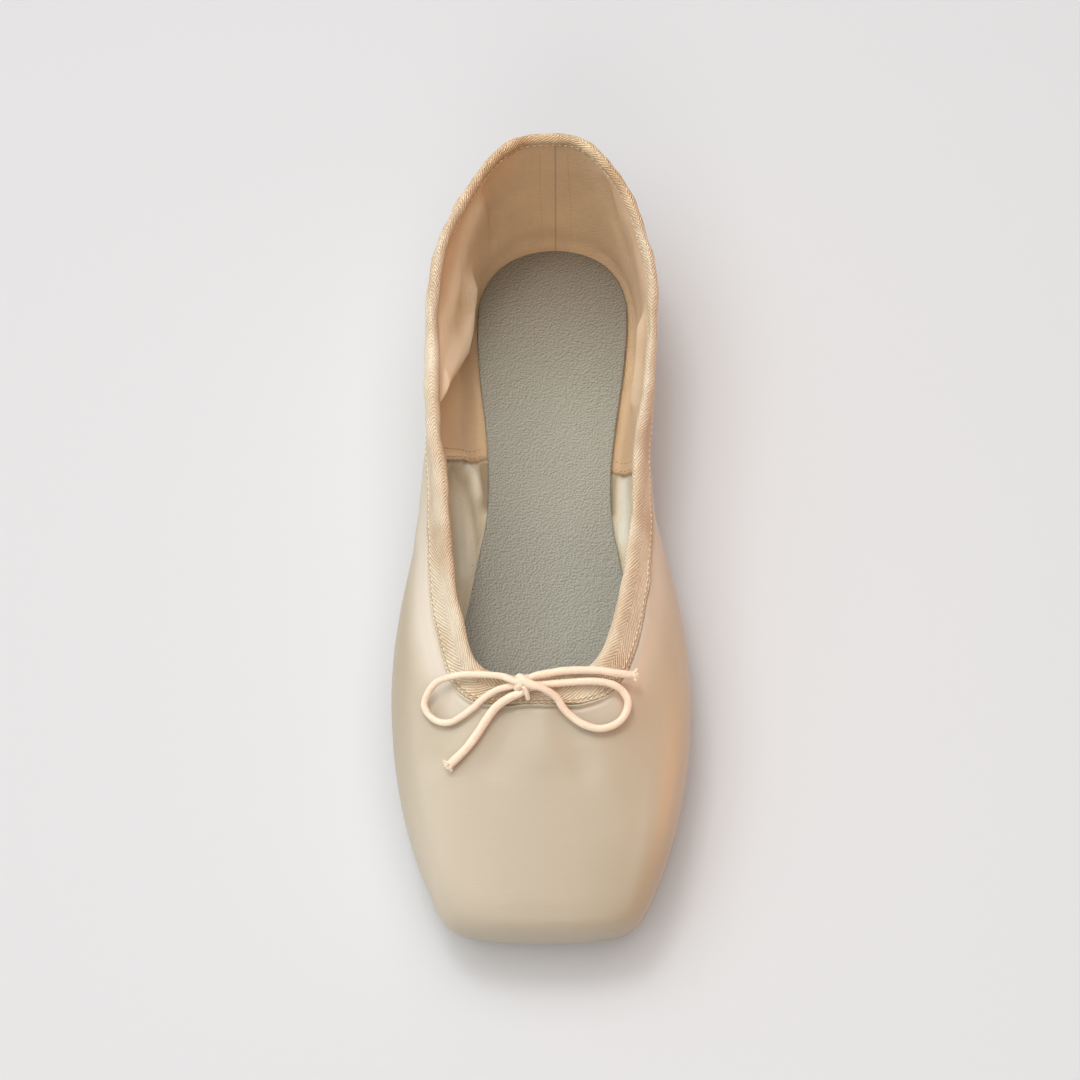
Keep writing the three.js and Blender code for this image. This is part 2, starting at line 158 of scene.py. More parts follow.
# The folds of the empty upper: a line on the wall, its half width, and how far it stands in.
FRONT_VALLEY = [
    [-29.6, 19.5, 17.3], [-28, 27.3, 15.7], [-24.2, 26.1, 8.8], [-22.2, 18.2, 7.3], [-20.5, 10.9, 6.5],
]
LINING_FOLDS = [
    ([[-16.6, 107.5, 47], [-16.3, 109, 40.3], [-16.2, 110.3, 29.8], [-17, 109, 16.1]], 2.4, -1.7),
    ([[19, 108.3, 47], [20.5, 106.9, 37.8], [21.8, 105.1, 31.2], [25, 98.5, 22.1]], 2.4, -1.6),
    (
        [
            [-25.6, 89.6, 18.5], [-25.8, 85.6, 14], [-26.2, 77.7, 14], [-27.2, 68.5, 18.3],
            [-29.5, 56.5, 28.6], [-31.1, 47.5, 35.9], [-31, 42, 41],
        ],
        5.4, 3.8,
    ),
    ([[-28.5, 86, 32], [-29.6, 72, 33], [-30.6, 58, 39]], 6.0, 1.2),
    (
        [
            [-25.6, 89, 11], [-26.2, 77, 7.5], [-27.6, 66, 10], [-29.8, 54, 19.5],
            [-31.4, 45, 27], [-31, 38, 32],
        ],
        4.2, -1.5,
    ),
    ([[30.8, 66, 30], [29.6, 60, 22], [28.5, 52, 14]], 4.2, 2.4),
    (
        [[-30.1, 27.5, 22.3], [-25, 33, 10.8], [-21.9, 29.5, 7.1], [-19.8, 23.1, 6.8], [-18, 17.1, 6.7]],
        1.4, 1.2,
    ),
    (FRONT_VALLEY, 1.5, -0.9),
    ([[-23.5, 21.6, 8.1], [-22.1, 9.8, 6.6], [-21.2, -1.2, 5.5]], 1.4, 0.9),
]
# Painted light and shade on the lining beside its folds: a line, its half width, and how much paler it is
# painted there, or, below zero, how much darker, as painted shade.
LINING_PAINTED_LIGHT = [
    ([[-22, 101, 42], [-27.5, 88, 33], [-29.6, 72, 33], [-31, 58, 40]], 7.5, 1.2),
    ([[28.7, 90, 28], [29.8, 76, 27], [30.5, 62, 27]], 8.0, -0.3),
    ([[-30.1, 27.5, 22.3], [-25, 33, 10.8], [-22.1, 29.5, 7.2], [-20.6, 23.1, 6.9]], 1.3, 0.5),
    (FRONT_VALLEY, 1.9, -0.4),
    ([[-26.6, 19, 11.1], [-25.9, 8.8, 8.5], [-25.1, -2.3, 5.8]], 2.4, 0.45),
    ([[-20.8, 8, 6.3], [-20.5, 4.1, 6], [-20.3, -2, 5.4]], 1.4, -0.7),
    ([[-19.2, 33, 6.4], [-18.8, 24, 6.7], [-18.4, 19.3, 6.7]], 1.8, -1.9),
    ([[20.7, 28.3, 6.6], [20.2, 22.7, 6.7], [20, 16.4, 6.7]], 1.2, -0.9),
    ([[23.6, 25.5, 8.3], [24, 17.8, 8.4], [23.2, 7.7, 6.8]], 2.0, 0.6),
]
# The folds of the satin, in the columns of the lining's folds.
SATIN_FOLDS = [
    ([[8.5, -64.2, 44.9], [10.6, -69, 43.4], [13.2, -77, 41.2]], 4.6, 0.6),
    ([[-5.1, -64, 45.2], [-7.5, -69, 43.8], [-10.4, -76, 41.8]], 4.2, 0.5),
    ([[-14, -63, 44.6], [-16.5, -67, 43.4], [-19.5, -73, 41.8]], 3.6, -0.5),
    ([[2, -64.5, 45.4], [2, -74, 42.6]], 4.4, -0.4),
    ([[-26.6, -54.9, 42.1], [-27.6, -62, 40.5], [-26.8, -74, 38.6]], 3.4, 0.6),
    ([[35, 22, 29], [35.6, 4, 29]], 8.0, 1.3),
]

# The photographed view of the shoe. The focal length is in pixels of the frame.
FRAME_WIDTH = 1080
FOCAL = 2212.67
SENSOR = 36
EYE = [38.17, -283.88, 605.45]
EYE_DOWN = math.radians(64.09)
EYE_TURN = math.radians(0.88)
EYE_PAN = math.atan(148 / FOCAL)
LENS = FOCAL / FRAME_WIDTH * SENSOR

# The studio's lamps: place and aim in metres, width, depth, power in watts and colour.
WHITE = (1, 0.99, 0.98)
LAMPS = {
    "overhead": ((-0.1, 0.0, 1.3), (0, 0, 0), 1.6, 1.6, 11.2, WHITE),
    "front": ((-0.1, -1.15, 0.85), (0, 0.02, 0.02), 0.7, 0.6, 2.3, (1, 0.96, 0.88)),
    "key": ((-0.15, 0.25, 1.25), (0, 0.02, 0.02), 0.3, 0.3, 2.2, WHITE),
    "left": ((-1.1, 0.3, 0.6), (0, -0.02, 0.02), 1.2, 0.8, 6.5, WHITE),
    "right": ((0.5, -0.04, 0.1), (0, -0.04, 0.03), 0.5, 0.16, 1.0, (1, 0.36, 0.08)),
}


def linear(text):
    """The linear colour of six hexadecimal digits."""
    parts = [int(text[i:i + 2], 16) / 255 for i in (0, 2, 4)]
    return [p / 12.92 if p <= 0.04045 else ((p + 0.055) / 1.055) ** 2.4 for p in parts]


def closed_loop(rows, across):
    right = np.array(rows, float)
    left = right[-2:0:-1].copy()
    left[:, across] *= -1
    return np.vstack([right, left])


def along(loop, u):
    """A closed Catmull-Rom spline through the rows of a loop."""
    n = len(loop)
    i = np.floor(u).astype(int)
    t = (u - i)[..., None]
    a, b, c, d = (loop[(i + k) % n] for k in (-1, 0, 1, 2))
    return b + 0.5 * t * (c - a + t * (2 * a - 5 * b + 4 * c - d + t * (3 * (b - c) + d - a)))


RIBS = closed_loop(RIB_ROWS, RIB_ACROSS)
INSOLE_LOOP = closed_loop(INSOLE_ROWS, [0])


def rib(u):
    """The profile's columns at a place round the shoe, by name."""
    values = along(RIBS, u)
    return {name: values[..., i] for i, name in enumerate(RIB_COLUMNS)}


def sole_line(y):
    """Height of the outsole's underside above the floor."""
    waist = np.clip((y - ARCH_FRONT) / (ARCH_BACK - ARCH_FRONT), 0, 1)
    spring = np.clip((y - SPRING_START) / (SPRING_END - SPRING_START), 0, 2)
    return ARCH_RISE * np.sin(np.pi * waist) ** 2 + TOE_SPRING * spring ** 2


def points_of(x, y, z):
    return np.stack(np.broadcast_arrays(x, y, z), -1).astype(float)


def unit(v):
    return v / np.maximum(np.linalg.norm(v, axis=-1, keepdims=True), 1e-12)


def drawn_in(outline, u, inset):
    """A flat outline drawn in by inset towards the middle of the shoe."""
    step = 0.01
    tangent = unit(outline(u + step) - outline(u - step))
    inward = points_of(tangent[..., 1], -tangent[..., 0], 0)
    return outline(u) + inward * np.asarray(inset, float)[..., None]


def sole_outline(u):
    row = rib(u)
    return points_of(row["sole_x"] + MIDLINE, row["sole_y"], 0)


def insole_outline(u):
    place = along(INSOLE_LOOP, u)
    return points_of(place[..., 0] + MIDLINE, place[..., 1], 0)


def towards(start, end, reach):
    """A place a reach from start on the way to end, and never past a set share of the way."""
    gone = np.linalg.norm(end - start, axis=-1)
    share = np.minimum(ROUND_SHARE, reach / gone)
    return start + (end - start) * share[..., None]


def outer_wall(u, v):
    """The upper's outer face. Whole numbers of v are the ends of the profile's six stretches."""
    u, v = np.broadcast_arrays(np.asarray(u, float), np.asarray(v, float))
    row = rib(u)
    foot = drawn_in(sole_outline, u, TUCK)
    foot[..., 2] = sole_line(foot[..., 1]) + OUTSOLE_THICKNESS + GAP
    low_z = sole_line(row["low_y"]) + row["low_rise"]
    low = points_of(row["low_x"] + row["high_sway"] / 2 + MIDLINE, row["low_y"], low_z)
    high = points_of(row["high_x"] + row["high_sway"] + MIDLINE, row["high_y"], row["high_z"])
    slack = plateau(np.abs(round_from(u, 0)) - 6.0, 4.0)
    lean = 0.55 * slack * wobble(u * 2.3, 9)
    dip = 0.35 * slack * wobble(u * 2.9, 12)
    top = points_of(row["top_x"] + row["top_sway"] + MIDLINE + lean, row["top_y"], row["top_z"] + dip)
    edge = towards(top, high, TAPE_OUTSIDE)
    low_start = towards(low, foot, row["low_round"])
    low_end = towards(low, high, row["low_round"])
    high_start = towards(high, low, row["high_round"])
    run = np.linalg.norm(high - edge, axis=-1) - 1
    high_end = towards(high, top, np.minimum(row["high_round"], run))
    i = np.clip(np.floor(v), 0, 5).astype(int)
    t = (v - i)[..., None]

    def line(a, b):
        return a + (b - a) * t

    def corner(a, b, c):
        return a * (1 - t) ** 2 + 2 * b * t * (1 - t) + c * t ** 2

    stretches = [
        line(foot, low_start),
        corner(low_start, low, low_end),
        line(low_end, high_start),
        corner(high_start, high, high_end),
        line(high_end, edge),
        line(edge, top),
    ]
    return np.select([(i == k)[..., None] for k in range(6)], stretches)


def wall_normal(u, v):
    step = 0.02
    round_way = outer_wall(u + step, v) - outer_wall(u - step, v)
    up_way = outer_wall(u, np.minimum(v + step, TOP_LINE)) - outer_wall(u, np.maximum(v - step, 0))
    return unit(np.cross(up_way, round_way))


def wall_thickness(u, v):
    own = rib(u)["wall"]
    low = UNDER_WALL + (own - UNDER_WALL) * np.clip(v - 1, 0, 1)
    high = own + (EDGE_WALL - own) * np.clip(v - 4, 0, 1)
    return np.where(v < 2, low, high)


def near_line(points, line):
    """Distance of points from a line through the given points."""
    line = np.array(line, float)
    best = np.full(points.shape[:-1], 1e9)
    for a, b in zip(line[:-1], line[1:]):
        way = b - a
        t = np.clip(((points - a) @ way) / (way @ way), 0, 1)
        gone = np.linalg.norm(points - (a + t[..., None] * way), axis=-1)
        best = np.minimum(best, gone)
    return best


def bell(x, width):
    """1 at the middle, falling away smoothly past a half width."""
    return np.exp(-((x / width) ** 2))


def plateau(x, width, power=4):
    """As a bell, but flat in the middle; a higher power has steeper sides."""
    return np.exp(-((x / width) ** power))


def round_from(u, place):
    """Signed way from a place to u, in ribs, the short way round."""
    return (u - place + RIB_COUNT / 2) % RIB_COUNT - RIB_COUNT / 2


def wobble(x, seed):
    """A smooth irregular wave between about -1 and 1."""
    waves = [(1.0, 0.0), (1.73, 1.9), (2.91, 4.1), (4.37, 2.3)]
    return sum(np.sin(x * k + p + seed * 1.7 * k) / (1 + i) for i, (k, p) in enumerate(waves)) / 1.6


def folds(points, lines, scale):
    """The lift of points by the folds near them; a fold that stands in gives a negative lift."""
    lift = np.zeros(points.shape[:-1])
    for line, width, height in lines:
        lift -= height * bell(near_line(points, line), width)
    return lift * scale


def throat_rise(u):
    """How much narrower the tape is at the middle of the throat than elsewhere."""
    return 1.4 * bell(round_from(u, TOE), 2.2)


def satin_relief(u, v, points, down, scale):
    """How far the satin stands out: its folds, the folded lip at the throat and the toe's pleats."""
    lift = folds(points, SATIN_FOLDS, scale)
    down = down + throat_rise(u)
    throat = plateau(round_from(u, TOE), 4.4, 6)
    waver = 0.12 * wobble(u * 3.1, 2)
    lift += throat * (1.05 * bell(down - 0.6 - waver, 0.4) - 0.45 * bell(down - 1.5 - waver, 0.4))
    roll = (1 - throat) * plateau(round_from(u, TOE), 8.5, 6)
    lift += roll * (0.45 * bell(down - 2.2, 1.8) - 0.35 * bell(down - 0.1, 0.5))
    t = np.clip(v - 3, 0, 1)
    shoulder = plateau(np.abs(round_from(u, TOE)) - 4.0, 2.4)
    left = np.clip(round_from(u, TOE) / 2 + 0.5, 0, 1)
    lift += 1.5 * shoulder * (1 - left) * (4 * t * (1 - t)) ** 2
    lift += 0.9 * shoulder * left * bell(v - 3.95, 0.3) * np.clip((5 - v) * 2, 0, 1)
    front = plateau(round_from(u, TOE), 4.6)
    under = np.clip(1.55 - v, 0, 1.2)
    lift += front * under * 0.32 * np.sin(u * 19 + 1.2 * wobble(u * 2, 5))
    slack = bell(np.abs(round_from(u, 0)) - 7, 3.2) * np.clip(v - 1.4, 0, 1)
    lift += slack * 0.25 * wobble(points[..., 1] * 0.11 + points[..., 2] * 0.13, 1) * np.clip(5 - v, 0, 1)
    return lift


def satin_painted_light(u, v, down):
    """Painted light on the satin: paler, a painted highlight, at its rolls beside the tape and its left
    shoulder; duller, painted shade, at its left flank and to the right of the toe.
    """
    r = round_from(u, TOE)
    painted_light_share = 0.9 * plateau(np.abs(r) - 6.0, 2.8) * bell(down - 3.0, 4.5)
    painted_light_share = painted_light_share + 0.4 * plateau(r - 3.2, 2.4) * bell(v - 3.75, 0.6)
    painted_light_share = painted_light_share - 0.85 * plateau(r - 6.8, 2.8) * np.clip((down - 5.5) / 6, 0, 1)
    return painted_light_share - 0.5 * plateau(r + 3.2, 2.0) * np.clip((down - 34) / 14, 0, 1)


def lining_relief(u, v, points, scale):
    """How far the lining stands in from its plain face, as a negative lift."""
    lift = folds(points, LINING_FOLDS, scale)
    for place, way in ((SEAM_RIGHT, -1), (SEAM_LEFT, 1)):
        behind = round_from(u, place) * way
        edge = 0.5 * (1 + np.tanh(behind / 0.012))
        lift -= 0.55 * edge * np.exp(-np.clip(behind, 0, 9) / 1.3) * np.clip(v - 0.8, 0, 1)
    soft = np.clip(v - 1, 0, 1) * np.clip(5 - v, 0, 1)
    lift += 0.18 * soft * wobble(points[..., 1] * 0.21 + points[..., 2] * 0.09 + points[..., 0] * 0.05, 3)
    return lift


def outer_face(u, v, down, scale):
    base = outer_wall(u, v)
    lift = satin_relief(u, v, base, down, scale)
    lift += folds(base, LINING_FOLDS, scale) * 0.6 * np.clip(v - 1.5, 0, 1) * np.clip(5 - v, 0, 1)
    return base + wall_normal(u, v) * lift[..., None]


def inner_face(column, v, scale):
    """The lining's face, on columns that slant with its seams."""
    column, v = np.broadcast_arrays(np.asarray(column, float), np.asarray(v, float))
    u = waved(column, v)
    normal = wall_normal(u, v)
    share = np.clip(1 - v, 0, 1)[..., None]
    outward = unit(normal * (1 - share) + np.array([0, 0, -1.0]) * share)
    base = outer_wall(u, v) - outward * wall_thickness(u, v)[..., None]
    lift = lining_relief(column, v, base, scale) * np.clip((v - 0.78) / 0.25, 0, 1)
    lift *= np.clip((TAPE_EDGE + 0.3 - v) / 0.6, 0, 1)
    return base + normal * lift[..., None]


def band_faces(rings, columns, closed_rings):
    """Quads between each ring and the next, round the columns."""
    r = np.arange(rings if closed_rings else rings - 1)[:, None]
    i = np.arange(columns)[None, :]
    s = (r + 1) % rings
    j = (i + 1) % columns
    quads = np.stack([r * columns + i, s * columns + i, s * columns + j, r * columns + j], -1)
    return quads.reshape(-1, 4)


def face_corners(rings, columns):
    """Ring and column of the four corners of each quad of a closed band."""
    r = np.arange(rings)[:, None]
    i = np.arange(columns)[None, :]
    return [(r, i), (r + 1, i), (r + 1, i + 1), (r, i + 1)]


def make_piece(name, points, faces, materials, uv=None, face_slots=None):
    """A smooth mesh object from points in millimetres and a list or array of faces."""
    mesh = bpy.data.meshes.new(name)
    rows = faces.tolist() if isinstance(faces, np.ndarray) else faces
    mesh.from_pydata((np.asarray(points) * MM).tolist(), [], rows)
    for material in materials:
        mesh.materials.append(material)
    if uv is not None:
        layer = mesh.uv_layers.new(name="Cloth")
        layer.data.foreach_set("uv", np.asarray(uv, np.float32).ravel())
    if face_slots is not None:
        mesh.polygons.foreach_set("material_index", np.asarray(face_slots, np.int32))
    mesh.validate()
    mesh.shade_smooth()
    mesh.update()
    piece = bpy.data.objects.new(name, mesh)
    bpy.context.scene.collection.objects.link(piece)
    return piece


def lit_alone():
    """The pieces that the side lights reach; the floor is left out, so that they cast no shade on it."""
    name = "lit_alone"
    return bpy.data.collections.get(name) or bpy.data.collections.new(name)


def put_on(piece, slot, *nodes):
    """Sets the piece on the shoe and hides the solids that it stands for; the finish it is given is not
    used.
    """
    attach(piece, "root")
    lit_alone().objects.link(piece)
    if nodes:
        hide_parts(*nodes)
    return piece


class Wire:
    """An output socket that takes part in arithmetic; each operation adds a Math node."""

    def __init__(self, graph, socket):
        self.graph = graph
        self.socket = socket

    def math(self, operation, *values):
        return self.graph.math(operation, *values)

    def __add__(self, other):
        return self.math("ADD", self, other)

    def __radd__(self, other):
        return self.math("ADD", other, self)

    def __sub__(self, other):
        return self.math("SUBTRACT", self, other)

    def __rsub__(self, other):
        return self.math("SUBTRACT", other, self)

    def __mul__(self, other):
        return self.math("MULTIPLY", self, other)

    def __rmul__(self, other):
        return self.math("MULTIPLY", other, self)

    def __pow__(self, other):
        return self.math("POWER", self, other)

    def __abs__(self):
        return self.math("ABSOLUTE", self)

    def sine(self):
        return self.math("SINE", self)

    def clamped(self):
        return self.graph.node("ShaderNodeClamp", {}, {"Value": self})

    def below(self, limit, soft):
        """1 well below the limit, 0 well above it, with a soft step between."""
        settings = {"interpolation_type": "SMOOTHSTEP"}
        ends = {"From Min": limit - soft, "From Max": limit + soft, "To Min": 1.0, "To Max": 0.0}
        return self.graph.node("ShaderNodeMapRange", settings, {"Value": self, **ends})


class Graph:
    """A node tree that is filled by one generic method."""

    def __init__(self, tree):
        self.tree = tree
        tree.nodes.clear()

    def node(self, kind, settings=None, inputs=None, output=0):
        """Adds a node, sets it, fills its sockets with values or wires, and gives one output."""
        made = self.tree.nodes.new(kind)
        for name, value in (settings or {}).items():
            setattr(made, name, value)
        for key, value in (inputs or {}).items():
            socket = made.inputs[key]
            if isinstance(value, Wire):
                self.tree.links.new(value.socket, socket)
            else:
                socket.default_value = value
        if output is None or not made.outputs:
            return made
        return Wire(self, made.outputs[output])

    def math(self, operation, *values):
        return self.node("ShaderNodeMath", {"operation": operation}, dict(enumerate(values)))

    def blend(self, share, first, second, way="MIX"):
        """Mixes two colours."""
        settings = {"data_type": "RGBA", "blend_type": way}
        ends = {0: share}
        for key, value in ((6, first), (7, second)):
            ends[key] = value if isinstance(value, Wire) else (*value[:3], 1.0)
        return self.node("ShaderNodeMix", settings, ends, 2)

    def noise(self, place, scale, detail=2.0, rough=0.5):
        ends = {"Vector": place, "Scale": scale, "Detail": detail, "Roughness": rough}
        return self.node("ShaderNodeTexNoise", {}, ends)

    def cells(self, place, scale):
        ends = {"Vector": place, "Scale": scale}
        return self.node("ShaderNodeTexVoronoi", {"feature": "F1"}, ends, "Distance")

    def object_place(self):
        return self.node("ShaderNodeTexCoord", {}, {}, "Object")

    def cloth_place(self):
        return self.node("ShaderNodeUVMap", {"uv_map": "Cloth"}, {})

    def stretched(self, place, scale):
        return self.node("ShaderNodeMapping", {}, {"Vector": place, "Scale": scale})

    def moved(self, place, way):
        return self.node("ShaderNodeVectorMath", {"operation": "ADD"}, {0: place, 1: way})

    def parts(self, place):
        made = self.node("ShaderNodeSeparateXYZ", {}, {"Vector": place}, None)
        return [Wire(self, s) for s in made.outputs]

    def bump(self, height, strength, distance, normal=None):
        ends = {"Height": height, "Strength": strength, "Distance": distance}
        if normal is not None:
            ends["Normal"] = normal
        return self.node("ShaderNodeBump", {}, ends)


def material(name, build, **finish):
    """A material whose build function gives colour, roughness, normal and any glow from a graph."""
    made = bpy.data.materials.new(name)
    made.use_nodes = True
    graph = Graph(made.node_tree)
    colour, roughness, normal, *glow = build(graph)
    ends = {"Base Color": colour, "Roughness": roughness, **finish}
    if glow:
        ends["Emission Color"] = glow[0]
    if normal is not None:
        ends["Normal"] = normal
    surface = graph.node("ShaderNodeBsdfPrincipled", {}, ends)
    graph.node("ShaderNodeOutputMaterial", {}, {"Surface": surface})
    return made


def satin_finish(colours):
    base = linear_of(colours.satin)

    def build(graph):
        place = graph.object_place()
        slub = graph.noise(graph.stretched(place, (60, 900, 900)), 1.0, 3.0)
        thread = graph.noise(graph.stretched(place, (420, 5200, 5200)), 1.0, 1.0)
        cloud = graph.noise(place, 38.0, 3.0)
        shade = (slub - 0.5) * 0.5 + (cloud - 0.5) * 0.6 + 0.5
        colour = graph.blend(shade.clamped(), [c * 0.95 for c in base], [min(1, c * 1.04) for c in base])
        # The attribute read here holds painted light: above zero it paints a highlight, paler, and below
        # zero painted shade, duller.
        painted_light_share = graph.node("ShaderNodeAttribute", {"attribute_name": "PaintedLight"}, {}, "Fac")
        pale = [c * k for c, k in zip(base, (1.28, 1.32, 1.46))]
        painted_shade_colour = [c * k for c, k in zip(base, (0.78, 0.73, 0.66))]
        colour = graph.blend(painted_light_share.clamped(), colour, pale)
        colour = graph.blend((painted_light_share * -1.0).clamped(), colour, painted_shade_colour)
        rough = (slub - 0.5) * 0.16 + (thread - 0.5) * 0.14 + 0.44
        slow = graph.noise(graph.stretched(place, (70, 45, 70)), 1.0, 2.0)
        normal = graph.bump(slow, 0.5, 0.0007)
        normal = graph.bump(slub * 0.6 + thread * 0.4, 0.16, 0.0003, normal)
        return colour, rough, normal

    gloss = {"Specular IOR Level": 0.75, "Coat Weight": 0.2, "Coat Roughness": 0.3}
    return material("satin", build, **gloss)


def lining_finish(name, colour_value, pitch, fleck):
    base = linear_of(colour_value)

    def build(graph):
        place = graph.cloth_place()
        s, d, _ = graph.parts(place)
        rib_wave = ((s + d) * (2 * math.pi / pitch)).sine() * 0.5 + 0.5
        cross = ((s - d * 0.4) * (2 * math.pi / (pitch * 0.55))).sine() * 0.5 + 0.5
        body = graph.object_place()
        cloud = graph.noise(body, 60.0, 4.0)
        fine = graph.noise(body, 1500.0, 2.0)
        shade = rib_wave * 0.36 + cross * 0.12 + (cloud - 0.5) * 0.9 + (fine - 0.5) * 0.6 + 0.26
        dark = [c * k for c, k in zip(base, (0.8, 0.76, 0.7))]
        colour = graph.blend(shade.clamped(), dark, [min(1, c * 1.08) for c in base])
        specks = graph.cells(body, 190.0).below(0.07, 0.02) * fleck
        colour = graph.blend(specks, colour, [c * 0.3 for c in base])
        x, y, z = graph.parts(body)
        if name == "back_lining":
            seam_x = z * 0.051 + 0.00134
            seam = abs(x - seam_x).below(0.00022, 0.00018) * (1 - y.below(0.100, 0.001))
            colour = graph.blend(seam * 0.6, colour, [c * 0.4 for c in base])
        # The attribute read here holds painted light and shade: paler where the lining stands in at its
        # folds and beside them, darker in its troughs and at the foot of the heel.
        painted_fold_light = graph.node("ShaderNodeAttribute", {"attribute_name": "PaintedLight"}, {}, "Fac")
        pale = [min(1, c * k) for c, k in zip(base, (1.24, 1.4, 1.68))]
        shaded = [c * k for c, k in zip(base, (0.42, 0.34, 0.26))]
        colour = graph.blend(painted_fold_light.clamped() * 0.9, colour, pale)
        colour = graph.blend((painted_fold_light * -1.0).clamped() * 0.85, colour, shaded)
        # A dark line along the cut edges at the side seams: the seam's own dark edge and painted shadow of
        # the gap beneath it.
        raw_edge_and_gap_shadow = graph.node("ShaderNodeAttribute", {"attribute_name": "Seam"}, {}, "Fac")
        raw_edge_and_gap_shadow = raw_edge_and_gap_shadow * (graph.noise(body, 900.0, 2.0) * 1.6 + 0.1).clamped()
        colour = graph.blend(raw_edge_and_gap_shadow * 0.85, colour, [c * k for c, k in zip(base, (0.3, 0.25, 0.2))])
        height = rib_wave * 0.7 + cross * 0.3 + fine * 0.4
        normal = graph.bump(height, 0.6, 0.0003)
        return colour, 0.86 + (fine - 0.5) * 0.1, normal

    matt = {"Specular IOR Level": 0.25, "Sheen Weight": 0.15, "Sheen Roughness": 0.5}
    return material(name, build, **matt)


def tape_finish(colours):
    base = linear_of(colours.tape)

    def build(graph):
        place = graph.cloth_place()
        s, d, _ = graph.parts(place)
        body = graph.object_place()
        sway = graph.noise(body, 90.0, 2.0) - 0.5
        column = graph.math("PINGPONG", d + sway * 0.0006, 0.0048)
        rib_wave = ((s + column * 1.4 + sway * 0.0008) * (2 * math.pi / 0.00116)).sine() * 0.5 + 0.5
        yarn = ((s - column * 0.9) * (2 * math.pi / 0.00052)).sine() * 0.5 + 0.5
        fine = graph.noise(body, 1400.0, 2.0)
        # Broad patches of painted sheen and painted shade, standing in for the light on the tape's gathers.
        painted_gather_sheen = graph.noise(graph.stretched(body, (120, 75, 120)), 1.0, 1.0)
        shade = rib_wave ** 0.8 * 0.75 + yarn * 0.12 + (fine - 0.5) * 0.4 + (painted_gather_sheen - 0.5) * 1.5 + 0.12
        dark = [c * k for c, k in zip(base, (0.7, 0.54, 0.4))]
        pale = [min(1, c * k) for c, k in zip(base, (1.06, 1.08, 1.12))]
        colour = graph.blend(shade.clamped(), dark, pale)
        _, y, _ = graph.parts(body)
        # Painted shade: the tape is painted darker and more golden towards the heel.
        heel = 1 - y.below(0.09, 0.03)
        colour = graph.blend(heel * 0.8, colour, graph.blend(1.0, colour, (0.96, 0.81, 0.63), "MULTIPLY"))
        sewn = abs(d + 0.0089).below(0.00028, 0.0002)
        colour = graph.blend(sewn * 0.6, colour, [c * k for c, k in zip(base, (0.5, 0.38, 0.28))])
        normal = graph.bump(rib_wave * 0.8 + yarn * 0.2, 0.85, 0.0005)
        return colour, 0.46 + (1 - rib_wave) * 0.24, normal

    return material("tape", build, **{"Specular IOR Level": 0.5, "Sheen Weight": 0.1})


def insole_finish(colours):
    base = linear_of(colours.insole)

    def build(graph):
        body = graph.object_place()
        pebble = graph.noise(body, 1600.0, 2.0, 0.5)
        # The pebbles less this shifted copy paint light and shade on the grain, as if it were lit from one
        # side.
        pebble_for_painted_relief = graph.noise(graph.moved(body, (0.00016, -0.00022, 0)), 1600.0, 2.0, 0.5)
        grain = graph.noise(body, 2400.0, 2.0)
        cloud = graph.noise(body, 30.0, 3.0)
        _, y, _ = graph.parts(body)
        # Painted shade: the insole is painted darker towards the heel.
        heel = 1 - y.below(0.085, 0.045)
        shade = (pebble - pebble_for_painted_relief) * 2.6 + (grain - 0.5) * 0.4 + (cloud - 0.5) * 0.2 + 0.62
        dark = [c * k for c, k in zip(base, (0.5, 0.5, 0.48))]
        colour = graph.blend(shade.clamped(), dark, [min(1, c * 1.2) for c in base])
        # Painted light: the front of the insole is painted paler.
        front = y.below(-0.005, 0.05)
        colour = graph.blend(front * 0.6, colour, graph.blend(1.0, colour, (1.25, 1.25, 1.25), "MULTIPLY"))
        colour = graph.blend(heel * 0.9, colour, graph.blend(1.0, colour, (0.5, 0.38, 0.3), "MULTIPLY"))
        normal = graph.bump(pebble * 0.8 + grain * 0.2, 1.0, 0.0007)
        return colour, 0.72 + (grain - 0.5) * 0.2, normal

    return material("insole_board", build, **{"Specular IOR Level": 0.35})


def sole_finish(colours):
    base = linear_of(colours.sole)

    def build(graph):
        body = graph.object_place()
        nap = graph.noise(graph.stretched(body, (900, 300, 900)), 1.0, 4.0)
        cloud = graph.noise(body, 45.0, 4.0)
        shade = (nap - 0.5) * 1.2 + (cloud - 0.5) * 0.8 + 0.5
        colour = graph.blend(shade.clamped(), [c * 0.72 for c in base], [min(1, c * 1.15) for c in base])
        normal = graph.bump(nap, 0.4, 0.0003)
        return colour, 0.85 + (nap - 0.5) * 0.15, normal

    return material("sole_leather", build, **{"Specular IOR Level": 0.2, "Sheen Weight": 0.2})


def cord_finish(colours, name, on_route):
    base = linear_of(colours.cord)

    def build(graph):
        body = graph.object_place()
        fuzz = graph.noise(body, 1700.0, 3.0)
        cloud = graph.noise(body, 260.0, 2.0)
        height = fuzz * 0.7
        if on_route:
            s, d, _ = graph.parts(graph.cloth_place())
            one = ((s + d * 1.1) * (2 * math.pi / 0.00095)).sine() * 0.5 + 0.5
            two = ((s - d * 1.1) * (2 * math.pi / 0.00095)).sine() * 0.5 + 0.5
            height = height + graph.math("MAXIMUM", one, two) * 0.6
        shade = (fuzz - 0.5) * 1.0 + (cloud - 0.5) * 0.6 + 0.55
        dark = [c * k for c, k in zip(base, (0.9, 0.86, 0.8))]
        colour = graph.blend(shade.clamped(), dark, [min(1, c * 1.05) for c in base])
        normal = graph.bump(height, 0.35, 0.0002)
        return colour, 0.85 + (fuzz - 0.5) * 0.1, normal

    sheen = {"Sheen Weight": 0.35, "Sheen Roughness": 0.5, "Specular IOR Level": 0.25}
    return material(name, build, **sheen)


